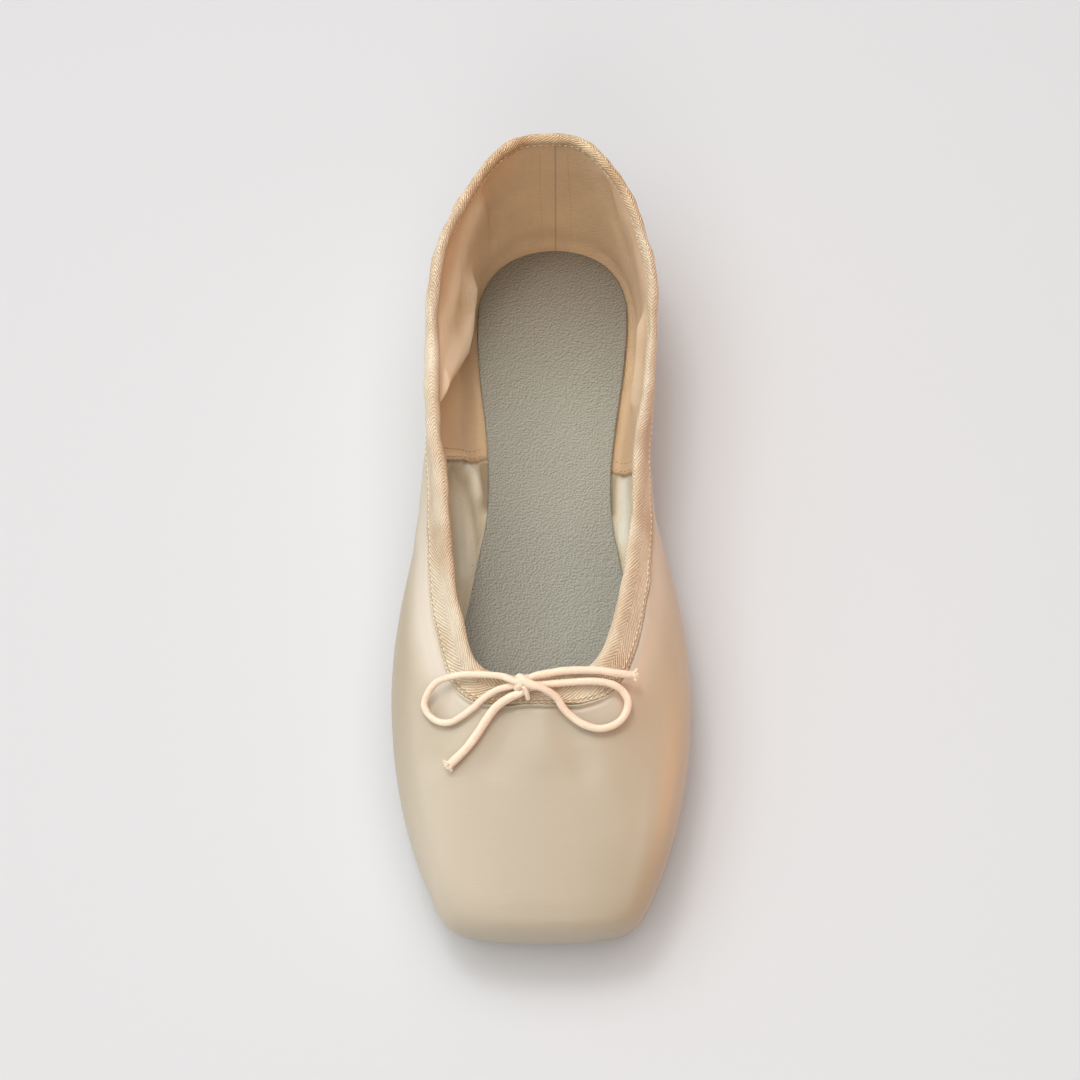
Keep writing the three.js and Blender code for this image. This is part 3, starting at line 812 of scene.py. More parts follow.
def thread_finish(name, colour_value):
    base = linear_of(colour_value)

    def build(graph):
        body = graph.object_place()
        twist = graph.noise(graph.stretched(body, (2600, 900, 2600)), 1.0, 2.0)
        colour = graph.blend(twist, [c * 0.8 for c in base], [min(1, c * 1.06) for c in base])
        return colour, 0.7 + (twist - 0.5) * 0.1, graph.bump(twist, 0.3, 0.0001)

    return material(name, build, **{"Specular IOR Level": 0.4})


def floor_finish(colours):
    base = linear_of(colours.floor)

    def build(graph):
        place = graph.object_place()
        cloud = graph.noise(place, 3.0, 2.0)
        colour = graph.blend(cloud, [c * 0.99 for c in base], base)
        x, y, _ = graph.parts(place)
        far = 1 - ((x * x + y * y) ** 0.5).below(0.8, 0.4)
        colour = graph.blend(far, colour, (0, 0, 0))
        glow = graph.blend(far, (0, 0, 0), (0.8, 0.8, 0.8))
        return colour, 0.9, None, glow

    made = material("floor", build, **{"Specular IOR Level": 0.1, "Emission Strength": 1.0})
    made.cycles.emission_sampling = "NONE"
    return made


def linear_of(colour):
    return [float(c) for c in colour]


def stitch_tree():
    """Stitches set along the lines of a mesh at a pitch."""
    name = "StitchRow"
    if name in bpy.data.node_groups:
        return bpy.data.node_groups[name]
    tree = bpy.data.node_groups.new(name, "GeometryNodeTree")
    inputs = [
        ("Lines", "NodeSocketGeometry"),
        ("Pitch", "NodeSocketFloat"),
        ("Length", "NodeSocketFloat"),
        ("Thickness", "NodeSocketFloat"),
        ("Thread", "NodeSocketMaterial"),
    ]
    for title, kind in inputs:
        tree.interface.new_socket(title, in_out="INPUT", socket_type=kind)
    tree.interface.new_socket("Stitches", in_out="OUTPUT", socket_type="NodeSocketGeometry")
    graph = Graph(tree)
    given = graph.node("NodeGroupInput", {}, {}, None)
    size = {title: Wire(graph, given.outputs[title]) for title, _ in inputs}
    curve = graph.node("GeometryNodeMeshToCurve", {}, {"Mesh": size["Lines"]})
    ends = {"Curve": curve, "Length": size["Pitch"]}
    spots = graph.node("GeometryNodeCurveToPoints", {"mode": "LENGTH"}, ends, None)
    ball = graph.node("GeometryNodeMeshUVSphere", {}, {"Segments": 8, "Rings": 5, "Radius": 0.5})
    ball = graph.node("GeometryNodeSetShadeSmooth", {}, {"Geometry": ball})
    scale_ends = {"X": size["Thickness"], "Y": size["Thickness"], "Z": size["Length"]}
    scale = graph.node("ShaderNodeCombineXYZ", {}, scale_ends)
    ends = {
        "Points": Wire(graph, spots.outputs["Points"]),
        "Instance": ball,
        "Rotation": Wire(graph, spots.outputs["Rotation"]),
        "Scale": scale,
    }
    rows = graph.node("GeometryNodeInstanceOnPoints", {}, ends)
    rows = graph.node("GeometryNodeRealizeInstances", {}, {"Geometry": rows})
    rows = graph.node("GeometryNodeSetMaterial", {}, {"Geometry": rows, "Material": size["Thread"]})
    graph.node("NodeGroupOutput", {}, {0: rows})
    return tree


def tuft_tree():
    """Short bent fibres that stand on the faces of a mesh."""
    name = "FrayTuft"
    if name in bpy.data.node_groups:
        return bpy.data.node_groups[name]
    tree = bpy.data.node_groups.new(name, "GeometryNodeTree")
    inputs = [
        ("Cut", "NodeSocketGeometry"),
        ("Density", "NodeSocketFloat"),
        ("Length", "NodeSocketFloat"),
        ("Thickness", "NodeSocketFloat"),
        ("Spread", "NodeSocketFloat"),
        ("Fibre", "NodeSocketMaterial"),
    ]
    for title, kind in inputs:
        tree.interface.new_socket(title, in_out="INPUT", socket_type=kind)
    tree.interface.new_socket("Tuft", in_out="OUTPUT", socket_type="NodeSocketGeometry")
    graph = Graph(tree)
    given = graph.node("NodeGroupInput", {}, {}, None)
    size = {title: Wire(graph, given.outputs[title]) for title, _ in inputs}
    ends = {"Mesh": size["Cut"], "Density": size["Density"], "Seed": 7}
    spots = graph.node("GeometryNodeDistributePointsOnFaces", {}, ends, None)
    reach = size["Length"]
    middle = graph.node("ShaderNodeCombineXYZ", {}, {"X": reach * 0.05, "Z": reach * 0.55})
    tip = graph.node("ShaderNodeCombineXYZ", {}, {"X": reach * 0.34, "Z": reach})
    bend = {"Resolution": 4, "Middle": middle, "End": tip, "Start": (0, 0, 0)}
    hair = graph.node("GeometryNodeCurveQuadraticBezier", {}, bend)
    ends = {"Resolution": 6, "Radius": size["Thickness"] * 0.5}
    ring = graph.node("GeometryNodeCurvePrimitiveCircle", {}, ends)
    ends = {"Curve": hair, "Profile Curve": ring, "Fill Caps": True}
    hair = graph.node("GeometryNodeCurveToMesh", {}, ends)
    back = graph.math("MULTIPLY", size["Spread"], -1.0)
    low = graph.node("ShaderNodeCombineXYZ", {}, {"X": back, "Y": back, "Z": 0.0})
    high = graph.node("ShaderNodeCombineXYZ", {}, {"X": size["Spread"], "Y": size["Spread"], "Z": 6.283})
    ends = {0: low, 1: high, "Seed": 3}
    any_turn = graph.node("FunctionNodeRandomValue", {"data_type": "FLOAT_VECTOR"}, ends)
    ends = {2: 0.45, 3: 1.1, "Seed": 5}
    any_size = graph.node("FunctionNodeRandomValue", {"data_type": "FLOAT"}, ends, 1)
    turn = graph.node("FunctionNodeEulerToRotation", {}, {"Euler": any_turn})
    spot_turn = Wire(graph, spots.outputs["Rotation"])
    turn = graph.node("FunctionNodeRotateRotation", {"rotation_space": "LOCAL"}, {0: spot_turn, 1: turn})
    ends = {
        "Points": Wire(graph, spots.outputs["Points"]),
        "Instance": hair,
        "Rotation": turn,
        "Scale": any_size,
    }
    tuft = graph.node("GeometryNodeInstanceOnPoints", {}, ends)
    tuft = graph.node("GeometryNodeRealizeInstances", {}, {"Geometry": tuft})
    tuft = graph.node("GeometryNodeSetMaterial", {}, {"Geometry": tuft, "Material": size["Fibre"]})
    graph.node("NodeGroupOutput", {}, {0: tuft})
    return tree


def grown(name, host_mesh, tree, values):
    """Runs a geometry tree on a mesh and gives its result as a plain piece."""
    host = bpy.data.objects.new(name + "_host", host_mesh)
    bpy.context.scene.collection.objects.link(host)
    modifier = host.modifiers.new("Nodes", "NODES")
    modifier.node_group = tree
    for item in tree.interface.items_tree:
        if item.in_out == "INPUT" and item.name in values:
            modifier[item.identifier] = values[item.name]
    graph = bpy.context.evaluated_depsgraph_get()
    mesh = bpy.data.meshes.new_from_object(host.evaluated_get(graph), depsgraph=graph)
    bpy.data.objects.remove(host)
    bpy.data.meshes.remove(host_mesh)
    if not len(mesh.polygons):
        raise RuntimeError(name + " came out empty")
    used = [m for m in mesh.materials if m]
    mesh.materials.clear()
    mesh.materials.append(used[0])
    mesh.polygons.foreach_set("material_index", np.zeros(len(mesh.polygons), np.int32))
    mesh.name = name
    piece = bpy.data.objects.new(name, mesh)
    bpy.context.scene.collection.objects.link(piece)
    return piece


def line_mesh(name, lines):
    """A mesh of edges only, one run for each line in millimetres; a closed run repeats its start."""
    points = np.concatenate([np.asarray(line, float) for line in lines])
    edges = []
    first = 0
    for line in lines:
        count = len(line)
        edges += [(first + i, first + i + 1) for i in range(count - 1)]
        first += count
    mesh = bpy.data.meshes.new(name)
    mesh.from_pydata((points * MM).tolist(), edges, [])
    return mesh


def smooth_route(route, step):
    """A centripetal Catmull-Rom curve through a route, as evenly spaced points."""
    p = np.array(route, float)
    p = np.vstack([2 * p[0] - p[1], p, 2 * p[-1] - p[-2]])
    out = []
    for k in range(1, len(p) - 2):
        a, b, c, d = p[k - 1:k + 3]
        t0 = 0.0
        t1 = t0 + np.linalg.norm(b - a) ** 0.5
        t2 = t1 + np.linalg.norm(c - b) ** 0.5
        t3 = t2 + np.linalg.norm(d - c) ** 0.5
        t = np.linspace(t1, t2, 24, endpoint=False)[:, None]
        ab = (t1 - t) / (t1 - t0) * a + (t - t0) / (t1 - t0) * b
        bc = (t2 - t) / (t2 - t1) * b + (t - t1) / (t2 - t1) * c
        cd = (t3 - t) / (t3 - t2) * c + (t - t2) / (t3 - t2) * d
        abc = (t2 - t) / (t2 - t0) * ab + (t - t0) / (t2 - t0) * bc
        bcd = (t3 - t) / (t3 - t1) * bc + (t - t1) / (t3 - t1) * cd
        out.append((t2 - t) / (t2 - t1) * abc + (t - t1) / (t2 - t1) * bcd)
    fine = np.vstack([*out, p[-2:-1]])
    gone = np.concatenate([[0], np.cumsum(np.linalg.norm(np.diff(fine, axis=0), axis=1))])
    places = np.linspace(0, gone[-1], max(2, int(round(gone[-1] / step)) + 1))
    return np.stack([np.interp(places, gone, fine[:, k]) for k in range(3)], -1)


def tube(path, radii, sides):
    """Points, quads and cloth coordinates of a round tube with domed ends along a path."""
    ways = unit(np.gradient(path, axis=0))
    side = unit(np.cross(ways[0], [0.3, 0.1, 1.0]))
    rings = []
    turns = np.arange(sides) * 2 * np.pi / sides
    for way, centre, radius in zip(ways, path, radii):
        side = unit(side - way * (side @ way))
        other = np.cross(way, side)
        rings.append(centre + radius * (np.cos(turns)[:, None] * side + np.sin(turns)[:, None] * other))
    points = np.vstack([*rings, path[:1], path[-1:]])
    n = len(path)
    quads = band_faces(n, sides, False)[:, ::-1].tolist()
    ends = [[j, (j + 1) % sides, n * sides][::-1] for j in range(sides)]
    last = (n - 1) * sides
    ends += [[last + j, last + (j + 1) % sides, n * sides + 1] for j in range(sides)]
    gone = np.concatenate([[0], np.cumsum(np.linalg.norm(np.diff(path, axis=0), axis=1))])
    around = 2 * np.pi * float(np.max(radii)) / sides
    uv = []
    for r in range(n - 1):
        for i in range(sides):
            corner = [(r, i), (r + 1, i), (r + 1, i + 1), (r, i + 1)][::-1]
            uv += [(gone[a] * MM, b * around * MM) for a, b in corner]
    for _ in range(sides):
        uv += [(0, 0)] * 3
    for _ in range(sides):
        uv += [(gone[-1] * MM, 0)] * 3
    return points, quads + ends, uv


def shifted(route):
    return np.array(route, float) + [MIDLINE, 0, 0]


class ShoeColours(bpy.types.PropertyGroup):
    """Colours of the shoe's finishes"""

    def colour(name, text, digits):
        return bpy.props.FloatVectorProperty(
            name=name, description=text, default=linear(digits), subtype="COLOR", size=3, min=0, max=1
        )

    satin: colour("Satin", "Colour of the satin upper", "b4a892")
    back_lining: colour("Back lining", "Colour of the twill lining at the heel", "ebcfaa")
    front_lining: colour("Front lining", "Colour of the drill lining at the front", "e2d8c0")
    tape: colour("Tape", "Colour of the herringbone tape", "e9dbc0")
    insole: colour("Insole", "Colour of the pebbled insole", "9e9e93")
    sole: colour("Outsole", "Colour of the brushed leather outsole", "c9a47a")
    cord: colour("Cord", "Colour of the drawstring", "efdbc6")
    fray: colour("Fray", "Colour of the cord's frayed ends", "fff0dc")
    thread: colour("Thread", "Colour of the stitching", "f6e6cc")
    heel_thread: colour("Heel thread", "Colour of the stitching at the heel", "dcb98f")
    lining_thread: colour("Lining thread", "Colour of the lining's stitching", "c0936a")
    floor: colour("Floor", "Colour of the floor", "eef1f4")


class ShoeSizes(bpy.types.PropertyGroup):
    """Sizes of the shoe's soft parts"""

    def length(name, text, value):
        return bpy.props.FloatProperty(name=name, description=text, default=value, min=0, unit="LENGTH")

    cord_diameter: length("Cord diameter", "Diameter of the drawstring", 0.0024)
    tape_puff: length("Tape puff", "How far the drawstring swells the folded tape", 0.0006)
    stitch_pitch: length("Stitch pitch", "Distance from stitch to stitch", 0.0019)
    stitch_length: length("Stitch length", "Length of one stitch", 0.00112)
    stitch_thickness: length("Stitch thickness", "Thickness of the thread", 0.00034)
    fray_length: length("Fray length", "Length of the fibres at a cord's end", 0.0016)
    fold_depth: bpy.props.FloatProperty(
        name="Fold depth",
        description="Depth of the folds, 1 as photographed",
        default=1.0,
        min=0,
        subtype="FACTOR",
    )


def outer_rows(u):
    """Places v and distances down from the tape's edge, for each column, evenly down the satin."""
    over = 1.8
    fine = np.linspace(TAPE_EDGE + over / TAPE_OUTSIDE, 0, 240)
    points = outer_wall(u[:, None], fine[None, :])
    steps = np.linalg.norm(np.diff(points, axis=1), axis=-1)
    gone = np.concatenate([np.zeros((len(u), 1)), np.cumsum(steps, axis=1)], axis=1) - over
    near = np.array([-1.8, -1.5, -1.2, -0.9, -0.6, -0.3, 0, 0.3, 0.6, 0.9, 1.25, 1.65, 2.1, 2.8, 3.8, 5.0])
    rest = np.linspace(0, 1, 52)[1:]
    below = near[-1] + (gone[:, -1:] - near[-1]) * rest
    downs = np.concatenate([np.tile(near, (len(u), 1)), below], axis=1)
    v = np.stack([np.interp(d, g, fine) for d, g in zip(downs, gone)])
    return v, downs


def shoe_columns():
    """Places round the shoe: an even set, with close columns along the lining's two seams."""
    even = np.arange(RIB_COUNT * COLUMNS_PER_RIB) / COLUMNS_PER_RIB
    kept = [u for u in even if min(abs(round_from(u, SEAM_RIGHT)), abs(round_from(u, SEAM_LEFT))) > 0.07]
    close = [place + k for place in (SEAM_RIGHT, SEAM_LEFT) for k in SEAM_COLUMNS]
    return np.sort(np.array([*kept, *close]))


def seam_shift(place, v):
    """How far a lining seam has slanted from its place at each height."""
    low, high = SEAM_ENDS[place]
    height = np.interp(v, np.arange(7), PROFILE_HEIGHTS)
    rise = (height - PROFILE_HEIGHTS[1]) / (PROFILE_HEIGHTS[-1] - PROFILE_HEIGHTS[1])
    return low + (high - low) * rise - place


def waved(u, v):
    """Slants the columns with the lining seams, and lets the cut edges wander."""
    shift = np.zeros(np.broadcast(u, v).shape)
    for place, seed in ((SEAM_RIGHT, 4), (SEAM_LEFT, 8)):
        away = np.clip(np.abs(round_from(u, place)) / SEAM_SHEAR, 0, 1)
        window = 0.5 + 0.5 * np.cos(np.pi * away)
        shift = shift + seam_shift(place, v) * window
        shift = shift + 0.009 * wobble(v * 13.0, seed) * bell(round_from(u, place), 0.16)
    return u + shift


class POINTE_OT_upper(bpy.types.Operator):
    """Makes the satin upper with its two linings"""

    bl_idname = "pointe.upper"
    bl_label = "Upper"

    def execute(self, context):
        colours = context.scene.pointe_colours
        scale = context.scene.pointe_sizes.fold_depth
        u = shoe_columns()
        v, down = outer_rows(u)
        outer = outer_face(u[:, None], v, down, scale)
        end = TOP_LINE - EDGE_DROP / TAPE_OUTSIDE
        tucked = np.array([TAPE_EDGE + 0.4, end])
        over = outer_face(u[:, None], tucked[None, :], np.full((1, 2), -6.0), scale)
        wall_v = np.linspace(4, 1, 40)[1:]
        foot_v = np.linspace(1, 0, 6)[1:]
        inner_v = np.concatenate([np.linspace(end, 4, 18), wall_v, foot_v])
        inner = inner_face(u[:, None], inner_v[None, :], scale)
        rows = np.concatenate([outer[:, ::-1], over, inner], axis=1)
        points = rows.transpose(1, 0, 2).reshape(-1, 3)
        rings = rows.shape[1]
        columns = len(u)
        faces = band_faces(rings, columns, True)
        outside = outer.shape[1] + over.shape[1]
        ring_of = faces[:, 0] // columns
        column_of = faces[:, 0] % columns
        middle = (u + 0.5 * ((np.roll(u, -1) - u) % RIB_COUNT))[column_of]
        heel_side = (middle < SEAM_RIGHT) | (middle > SEAM_LEFT)
        face_slots = np.where(ring_of < outside - 1, 0, np.where(heel_side, 1, 2))
        uv = self.cloth(rows)
        finishes = [
            satin_finish(colours),
            lining_finish("back_lining", colours.back_lining, 0.0009, 0.15),
            lining_finish("front_lining", colours.front_lining, 0.00066, 0.35),
        ]
        piece = make_piece("satin_upper", points, faces, finishes, uv, face_slots)
        near = np.minimum(np.abs(round_from(u, SEAM_RIGHT - 0.02)), np.abs(round_from(u, SEAM_LEFT + 0.02)))
        # Painted light and shade, kept in a point attribute for the materials: on the lining, paler where
        # it stands in and darker in its troughs.
        depth = np.zeros((columns, rings))
        painted_fold_light = -folds(inner, LINING_FOLDS, scale) / 3
        depth[:, outside:] = np.where(painted_fold_light < 0, painted_fold_light * 0.4, painted_fold_light) - folds(inner, LINING_PAINTED_LIGHT, 1.0)
        heel = (u < SEAM_RIGHT) | (u > SEAM_LEFT)
        # Painted shade at the foot of the heel lining, next to the insole.
        depth[:, outside:] -= 0.4 * heel[:, None] * np.clip((2.4 - inner_v) / 1.2, 0, 1)
        # The satin's painted highlight and painted shade.
        depth[:, outer.shape[1] - 1::-1] = satin_painted_light(u[:, None], v, down)
        painted_light_layer = piece.data.attributes.new("PaintedLight", "FLOAT", "POINT")
        painted_light_layer.data.foreach_set("value", depth.T.ravel().astype(np.float32))
        seam = piece.data.attributes.new("Seam", "FLOAT", "POINT")
        seam.data.foreach_set("value", np.tile(bell(near, 0.035), rings).astype(np.float32))
        put_on(piece, "satin", "upper")
        return {"FINISHED"}

    def cloth(self, rows):
        """Cloth coordinates of each face's corners: the way round, and the way along the profile."""
        columns, rings = rows.shape[:2]
        nxt = np.roll(rows, -1, axis=0)
        steps = np.linalg.norm(nxt - rows, axis=-1).mean(axis=1)
        way = np.concatenate([[0], np.cumsum(steps)])
        gone = np.linalg.norm(np.diff(rows, axis=1), axis=-1)
        drop = np.concatenate([np.zeros((columns, 1)), np.cumsum(gone, axis=1)], axis=1)
        drop = np.concatenate([drop, drop[:, -1:] + UNDER_WALL], axis=1)
        drop = np.concatenate([drop, drop[:1]], axis=0)
        corners = face_corners(rings, columns)
        uv = [np.stack(np.broadcast_arrays(way[c], drop[c, a]), -1) for a, c in corners]
        return np.stack(uv, 2).reshape(-1, 2) * MM


def tape_section(puff):
    """The tape's section: down the wall and out from it, round the outside of the fold and back."""
    full = puff / MM
    return np.array([
        [9.0, 0.3], [9.05, 0.5], [8.8, 0.68], [8.2, 0.75], [7.2, 0.75], [6.0, 0.77],
        [4.8, 0.78 + 0.1 * full], [3.7, 0.8 + 0.3 * full], [2.8, 0.8 + 0.5 * full],
        [2.0, 0.78 + 0.55 * full], [1.3, 0.66 + 0.5 * full], [0.7, 0.45 + 0.35 * full],
        [0.25, 0.12 + 0.2 * full], [0.02, -0.25], [-0.05, -0.6], [0.02, -0.95],
        [0.25, -1.3 - 0.15 * full], [0.7, -1.6 - 0.3 * full], [1.3, -1.8 - 0.4 * full],
        [2.0, -1.88 - 0.4 * full], [2.6, -1.88 - 0.3 * full], [3.1, -1.87 - 0.15 * full],
        [3.5, -1.86], [3.8, -1.84], [4.05, -1.81], [4.22, -1.74], [4.3, -1.62], [4.3, -1.5],
        [1.4, -1.5], [1.4, 0.3],
    ])


def tape_face(u, down, out):
    v = TOP_LINE - down / TAPE_OUTSIDE
    return outer_wall(u, v) + wall_normal(u, v) * np.asarray(out)[..., None]


def tape_shape(u, section):
    """The section's down and out at each place round, with the gathers of the drawn string."""
    down = np.tile(section[:, 0], (len(u), 1))
    out = np.tile(section[:, 1], (len(u), 1))
    skin = np.ones(len(section))
    skin[[0, -3, -2, -1]] = 0
    way = u[:, None] * 13.0
    gather = wobble(way * 0.33, 1) * 0.2 + np.sin(way * 0.85 + 2 * wobble(way * 0.06, 3)) * 0.1
    gather = gather + 0.75 * bell(round_from(u, 26.0), 2.2)[:, None] - 0.1
    swell = bell(section[None, :, 0] - 2.0, 2.6) * skin
    out = out + np.sign(out + 0.6) * swell * gather
    edge_out = bell(section[:, 0] - 9.0, 1.2) * (section[:, 1] > 0)
    edge_in = bell(section[:, 0] - 4.3, 1.0) * (section[:, 1] < -1)
    down = down + edge_out * wobble(way * 0.11, 6) * 0.22 + edge_in * wobble(way * 0.16, 7) * 0.45
    flap = np.clip((section[:, 0] - 4) / 5, 0, 1) * (section[:, 1] > 0)
    return down - flap * throat_rise(u)[:, None], out


class POINTE_OT_tape(bpy.types.Operator):
    """Makes the herringbone tape that is folded over the edge of the upper"""

    bl_idname = "pointe.tape"
    bl_label = "Collar Tape"

    def execute(self, context):
        colours = context.scene.pointe_colours
        section = tape_section(context.scene.pointe_sizes.tape_puff)
        u = np.arange(RIB_COUNT * COLUMNS_PER_RIB) / COLUMNS_PER_RIB
        down, out = tape_shape(u, section)
        rows = tape_face(u[:, None], down, out)
        points = rows.transpose(1, 0, 2).reshape(-1, 3)
        columns, rings = rows.shape[:2]
        faces = band_faces(rings, columns, True)
        steps = np.linalg.norm(np.roll(rows, -1, axis=0) - rows, axis=-1)[:, 14]
        way = np.concatenate([[0], np.cumsum(steps)])
        gone = np.linalg.norm(np.diff(section, axis=0), axis=-1)
        across = np.concatenate([[0], np.cumsum(gone)])
        across = across - across[14]
        across = np.concatenate([across, across[-1:] + 1])
        corners = face_corners(rings, columns)
        uv = [np.stack(np.broadcast_arrays(way[c], across[a]), -1) for a, c in corners]
        uv = np.stack(uv, 2).reshape(-1, 2) * MM
        piece = make_piece("herringbone_tape", points, faces, [tape_finish(colours)], uv)
        put_on(piece, "tape", "collar_tape")
        return {"FINISHED"}


def plate(rings, across):
    """A closed plate from rings, bottom to top; its top is a grid across the shoe."""
    n = rings[0].shape[0]
    half = n // 2
    faces = band_faces(len(rings), n, False).tolist()
    base = n * len(rings)
    top = (len(rings) - 1) * n
    for i in range(1, half - 1):
        faces.append([i, i + 1, n - i - 1, n - i])
    faces.append([0, 1, n - 1])
    faces.append([half - 1, half, half + 1])
    grid = []
    index = {}
    for i in range(1, half):
        right, left = rings[-1][i], rings[-1][n - i]
        index[i, 0], index[i, across] = top + i, top + n - i
        for k in range(1, across):
            index[i, k] = base + len(grid)
            grid.append(right + (left - right) * k / across)
    for i in range(1, half - 1):
        for k in range(across):
            faces.append([index[i, k], index[i, k + 1], index[i + 1, k + 1], index[i + 1, k]])
    for k in range(across):
        faces.append([top, index[1, k + 1], index[1, k]])
        faces.append([top + half, index[half - 1, k], index[half - 1, k + 1]])
    return np.vstack([*rings, np.array(grid)]), faces


class POINTE_OT_soles(bpy.types.Operator):
    """Makes the insole and the outsole"""

    bl_idname = "pointe.soles"
    bl_label = "Soles"

    def execute(self, context):
        colours = context.scene.pointe_colours
        bottom = OUTSOLE_THICKNESS + UNDER_WALL + 2 * GAP
        u = np.arange(256) * RIB_COUNT / 256

        def inside(inset, height):
            p = drawn_in(insole_outline, u, np.full(len(u), inset))
            p[:, 2] = sole_line(p[:, 1]) + bottom + height
            return p

        steps = [(2.0, 0), (0, 1.2), (0, 1.5), (0.12, 1.76), (0.4, 1.93), (0.9, 2.0), (1.8, 2.02)]
        points, faces = plate([inside(*s) for s in steps], 24)
        board = make_piece("pebbled_insole", points, faces, [insole_finish(colours)])
        put_on(board, "insole", "insole")

        def outside(inset, height):
            p = drawn_in(sole_outline, u, np.full(len(u), inset))
            p[:, 2] = sole_line(p[:, 1]) + height
            return p

        filled = OUTSOLE_THICKNESS + GAP + UNDER_WALL
        steps = [
            (0.9, 0), (0.45, 0.12), (0.12, 0.45), (0, 0.9), (0, 1.9), (0.15, 2.25), (0.5, 2.4),
            (TUCK + GAP, OUTSOLE_THICKNESS), (TUCK + GAP, filled - 0.2), (TUCK + GAP + 0.2, filled),
        ]
        points, faces = plate([outside(*s) for s in steps], 12)
        sole = make_piece("brushed_outsole", points, faces, [sole_finish(colours)])
        put_on(sole, "sole_leather", "outsole")
        return {"FINISHED"}


class POINTE_OT_bow(bpy.types.Operator):
    """Makes the drawstring's bow: two cords, the knot and the frayed ends"""

    bl_idname = "pointe.bow"
    bl_label = "Bow"

    def execute(self, context):
        sizes = context.scene.pointe_sizes
        colours = context.scene.pointe_colours
        cotton = cord_finish(colours, "cord", True)
        knotted = cord_finish(colours, "knot_cord", False)
        fibre = thread_finish("fibre", colours.fray)
        knot = self.knot(knotted)
        put_on(knot, "cord", "bow_knot")
        first = [*START_LEFT, *LOOP_LEFT, *INSIDE_A, *END_RIGHT]
        second = [*START_RIGHT, *LOOP_RIGHT, *INSIDE_B, *END_LEFT]
        left_nodes = ("bow_loop_left", "bow_end_right")
        right_nodes = ("bow_loop_right", "bow_end_left")
        cords = [
            ("cord_left_loop", first, "fray_right", [knot], left_nodes, (0.78, 0.88)),
            ("cord_right_loop", second, "fray_left", [], right_nodes, (0.86, 1.0)),
        ]
        for name, route, fray_name, others, nodes, (slim, full) in cords:
            path = smooth_route(shifted(route), 0.6)
            radius = sizes.cord_diameter / MM / 2
            share = np.linspace(0, 1, len(path))
            swell = slim + (full - slim) * np.clip((share - 0.66) / 0.12, 0, 1)
            radii = radius * swell * (1 + 0.03 * wobble(np.arange(len(path)) * 0.5, 2))
            radii[0] *= 0.8
            radii[-1] *= 0.92
            points, faces, uv = tube(path, radii, 16)
            cord = make_piece(name, points, faces, [cotton], uv)
            put_on(cord, "cord", *nodes)
            tuft = self.fray(fray_name, path, radius * full, fibre, sizes)
            put_on(tuft, "cord")
        return {"FINISHED"}

    def knot(self, finish):
        """The knot's turns, melted together as tight cotton is."""
        points, faces = [], []
        count = 0
        for thick, thin, route in KNOT_STRANDS:
            path = smooth_route(shifted(route), 0.35)
            radii = np.linspace(thick, thin, len(path)) / 2
            p, f, _ = tube(path, radii, 14)
            points.append(p)
            faces += [[i + count for i in face] for face in f]
            count += len(p)
        piece = make_piece("bow_turns", np.vstack(points), faces, [finish])
        remesh = piece.modifiers.new("Melt", "REMESH")
        remesh.mode = "VOXEL"
        remesh.voxel_size = 0.00016
        remesh.use_smooth_shade = True
        ease = piece.modifiers.new("Ease", "SMOOTH")
        ease.factor = 0.5
        ease.iterations = 3
        graph = bpy.context.evaluated_depsgraph_get()
        mesh = bpy.data.meshes.new_from_object(piece.evaluated_get(graph), depsgraph=graph)
        piece.modifiers.clear()
        piece.data = mesh
        mesh.materials.clear()
        mesh.materials.append(finish)
        return piece

    def fray(self, name, path, radius, fibre, sizes):
        """A tuft of fibres on the cut end of a cord."""
        way = unit(path[-1] - path[-3])
        side = unit(np.cross(way, [0.3, 0.1, 1.0]))
        other = np.cross(way, side)
        turns = np.arange(12) * 2 * np.pi / 12
        ring = path[-1] - way * 0.25 + radius * 0.95 * (
            np.cos(turns)[:, None] * side + np.sin(turns)[:, None] * other
        )
        mesh = bpy.data.meshes.new(name)
        mesh.from_pydata((np.vstack([ring, path[-1:] - way * 0.1]) * MM).tolist(), [], [
            [i, (i + 1) % 12, 12] for i in range(12)
        ])
        values = {
            "Density": 2.6e7,
            "Length": sizes.fray_length,
            "Thickness": 0.00024,
            "Spread": 0.62,
            "Fibre": fibre,
        }
        return grown(name, mesh, tuft_tree(), values)


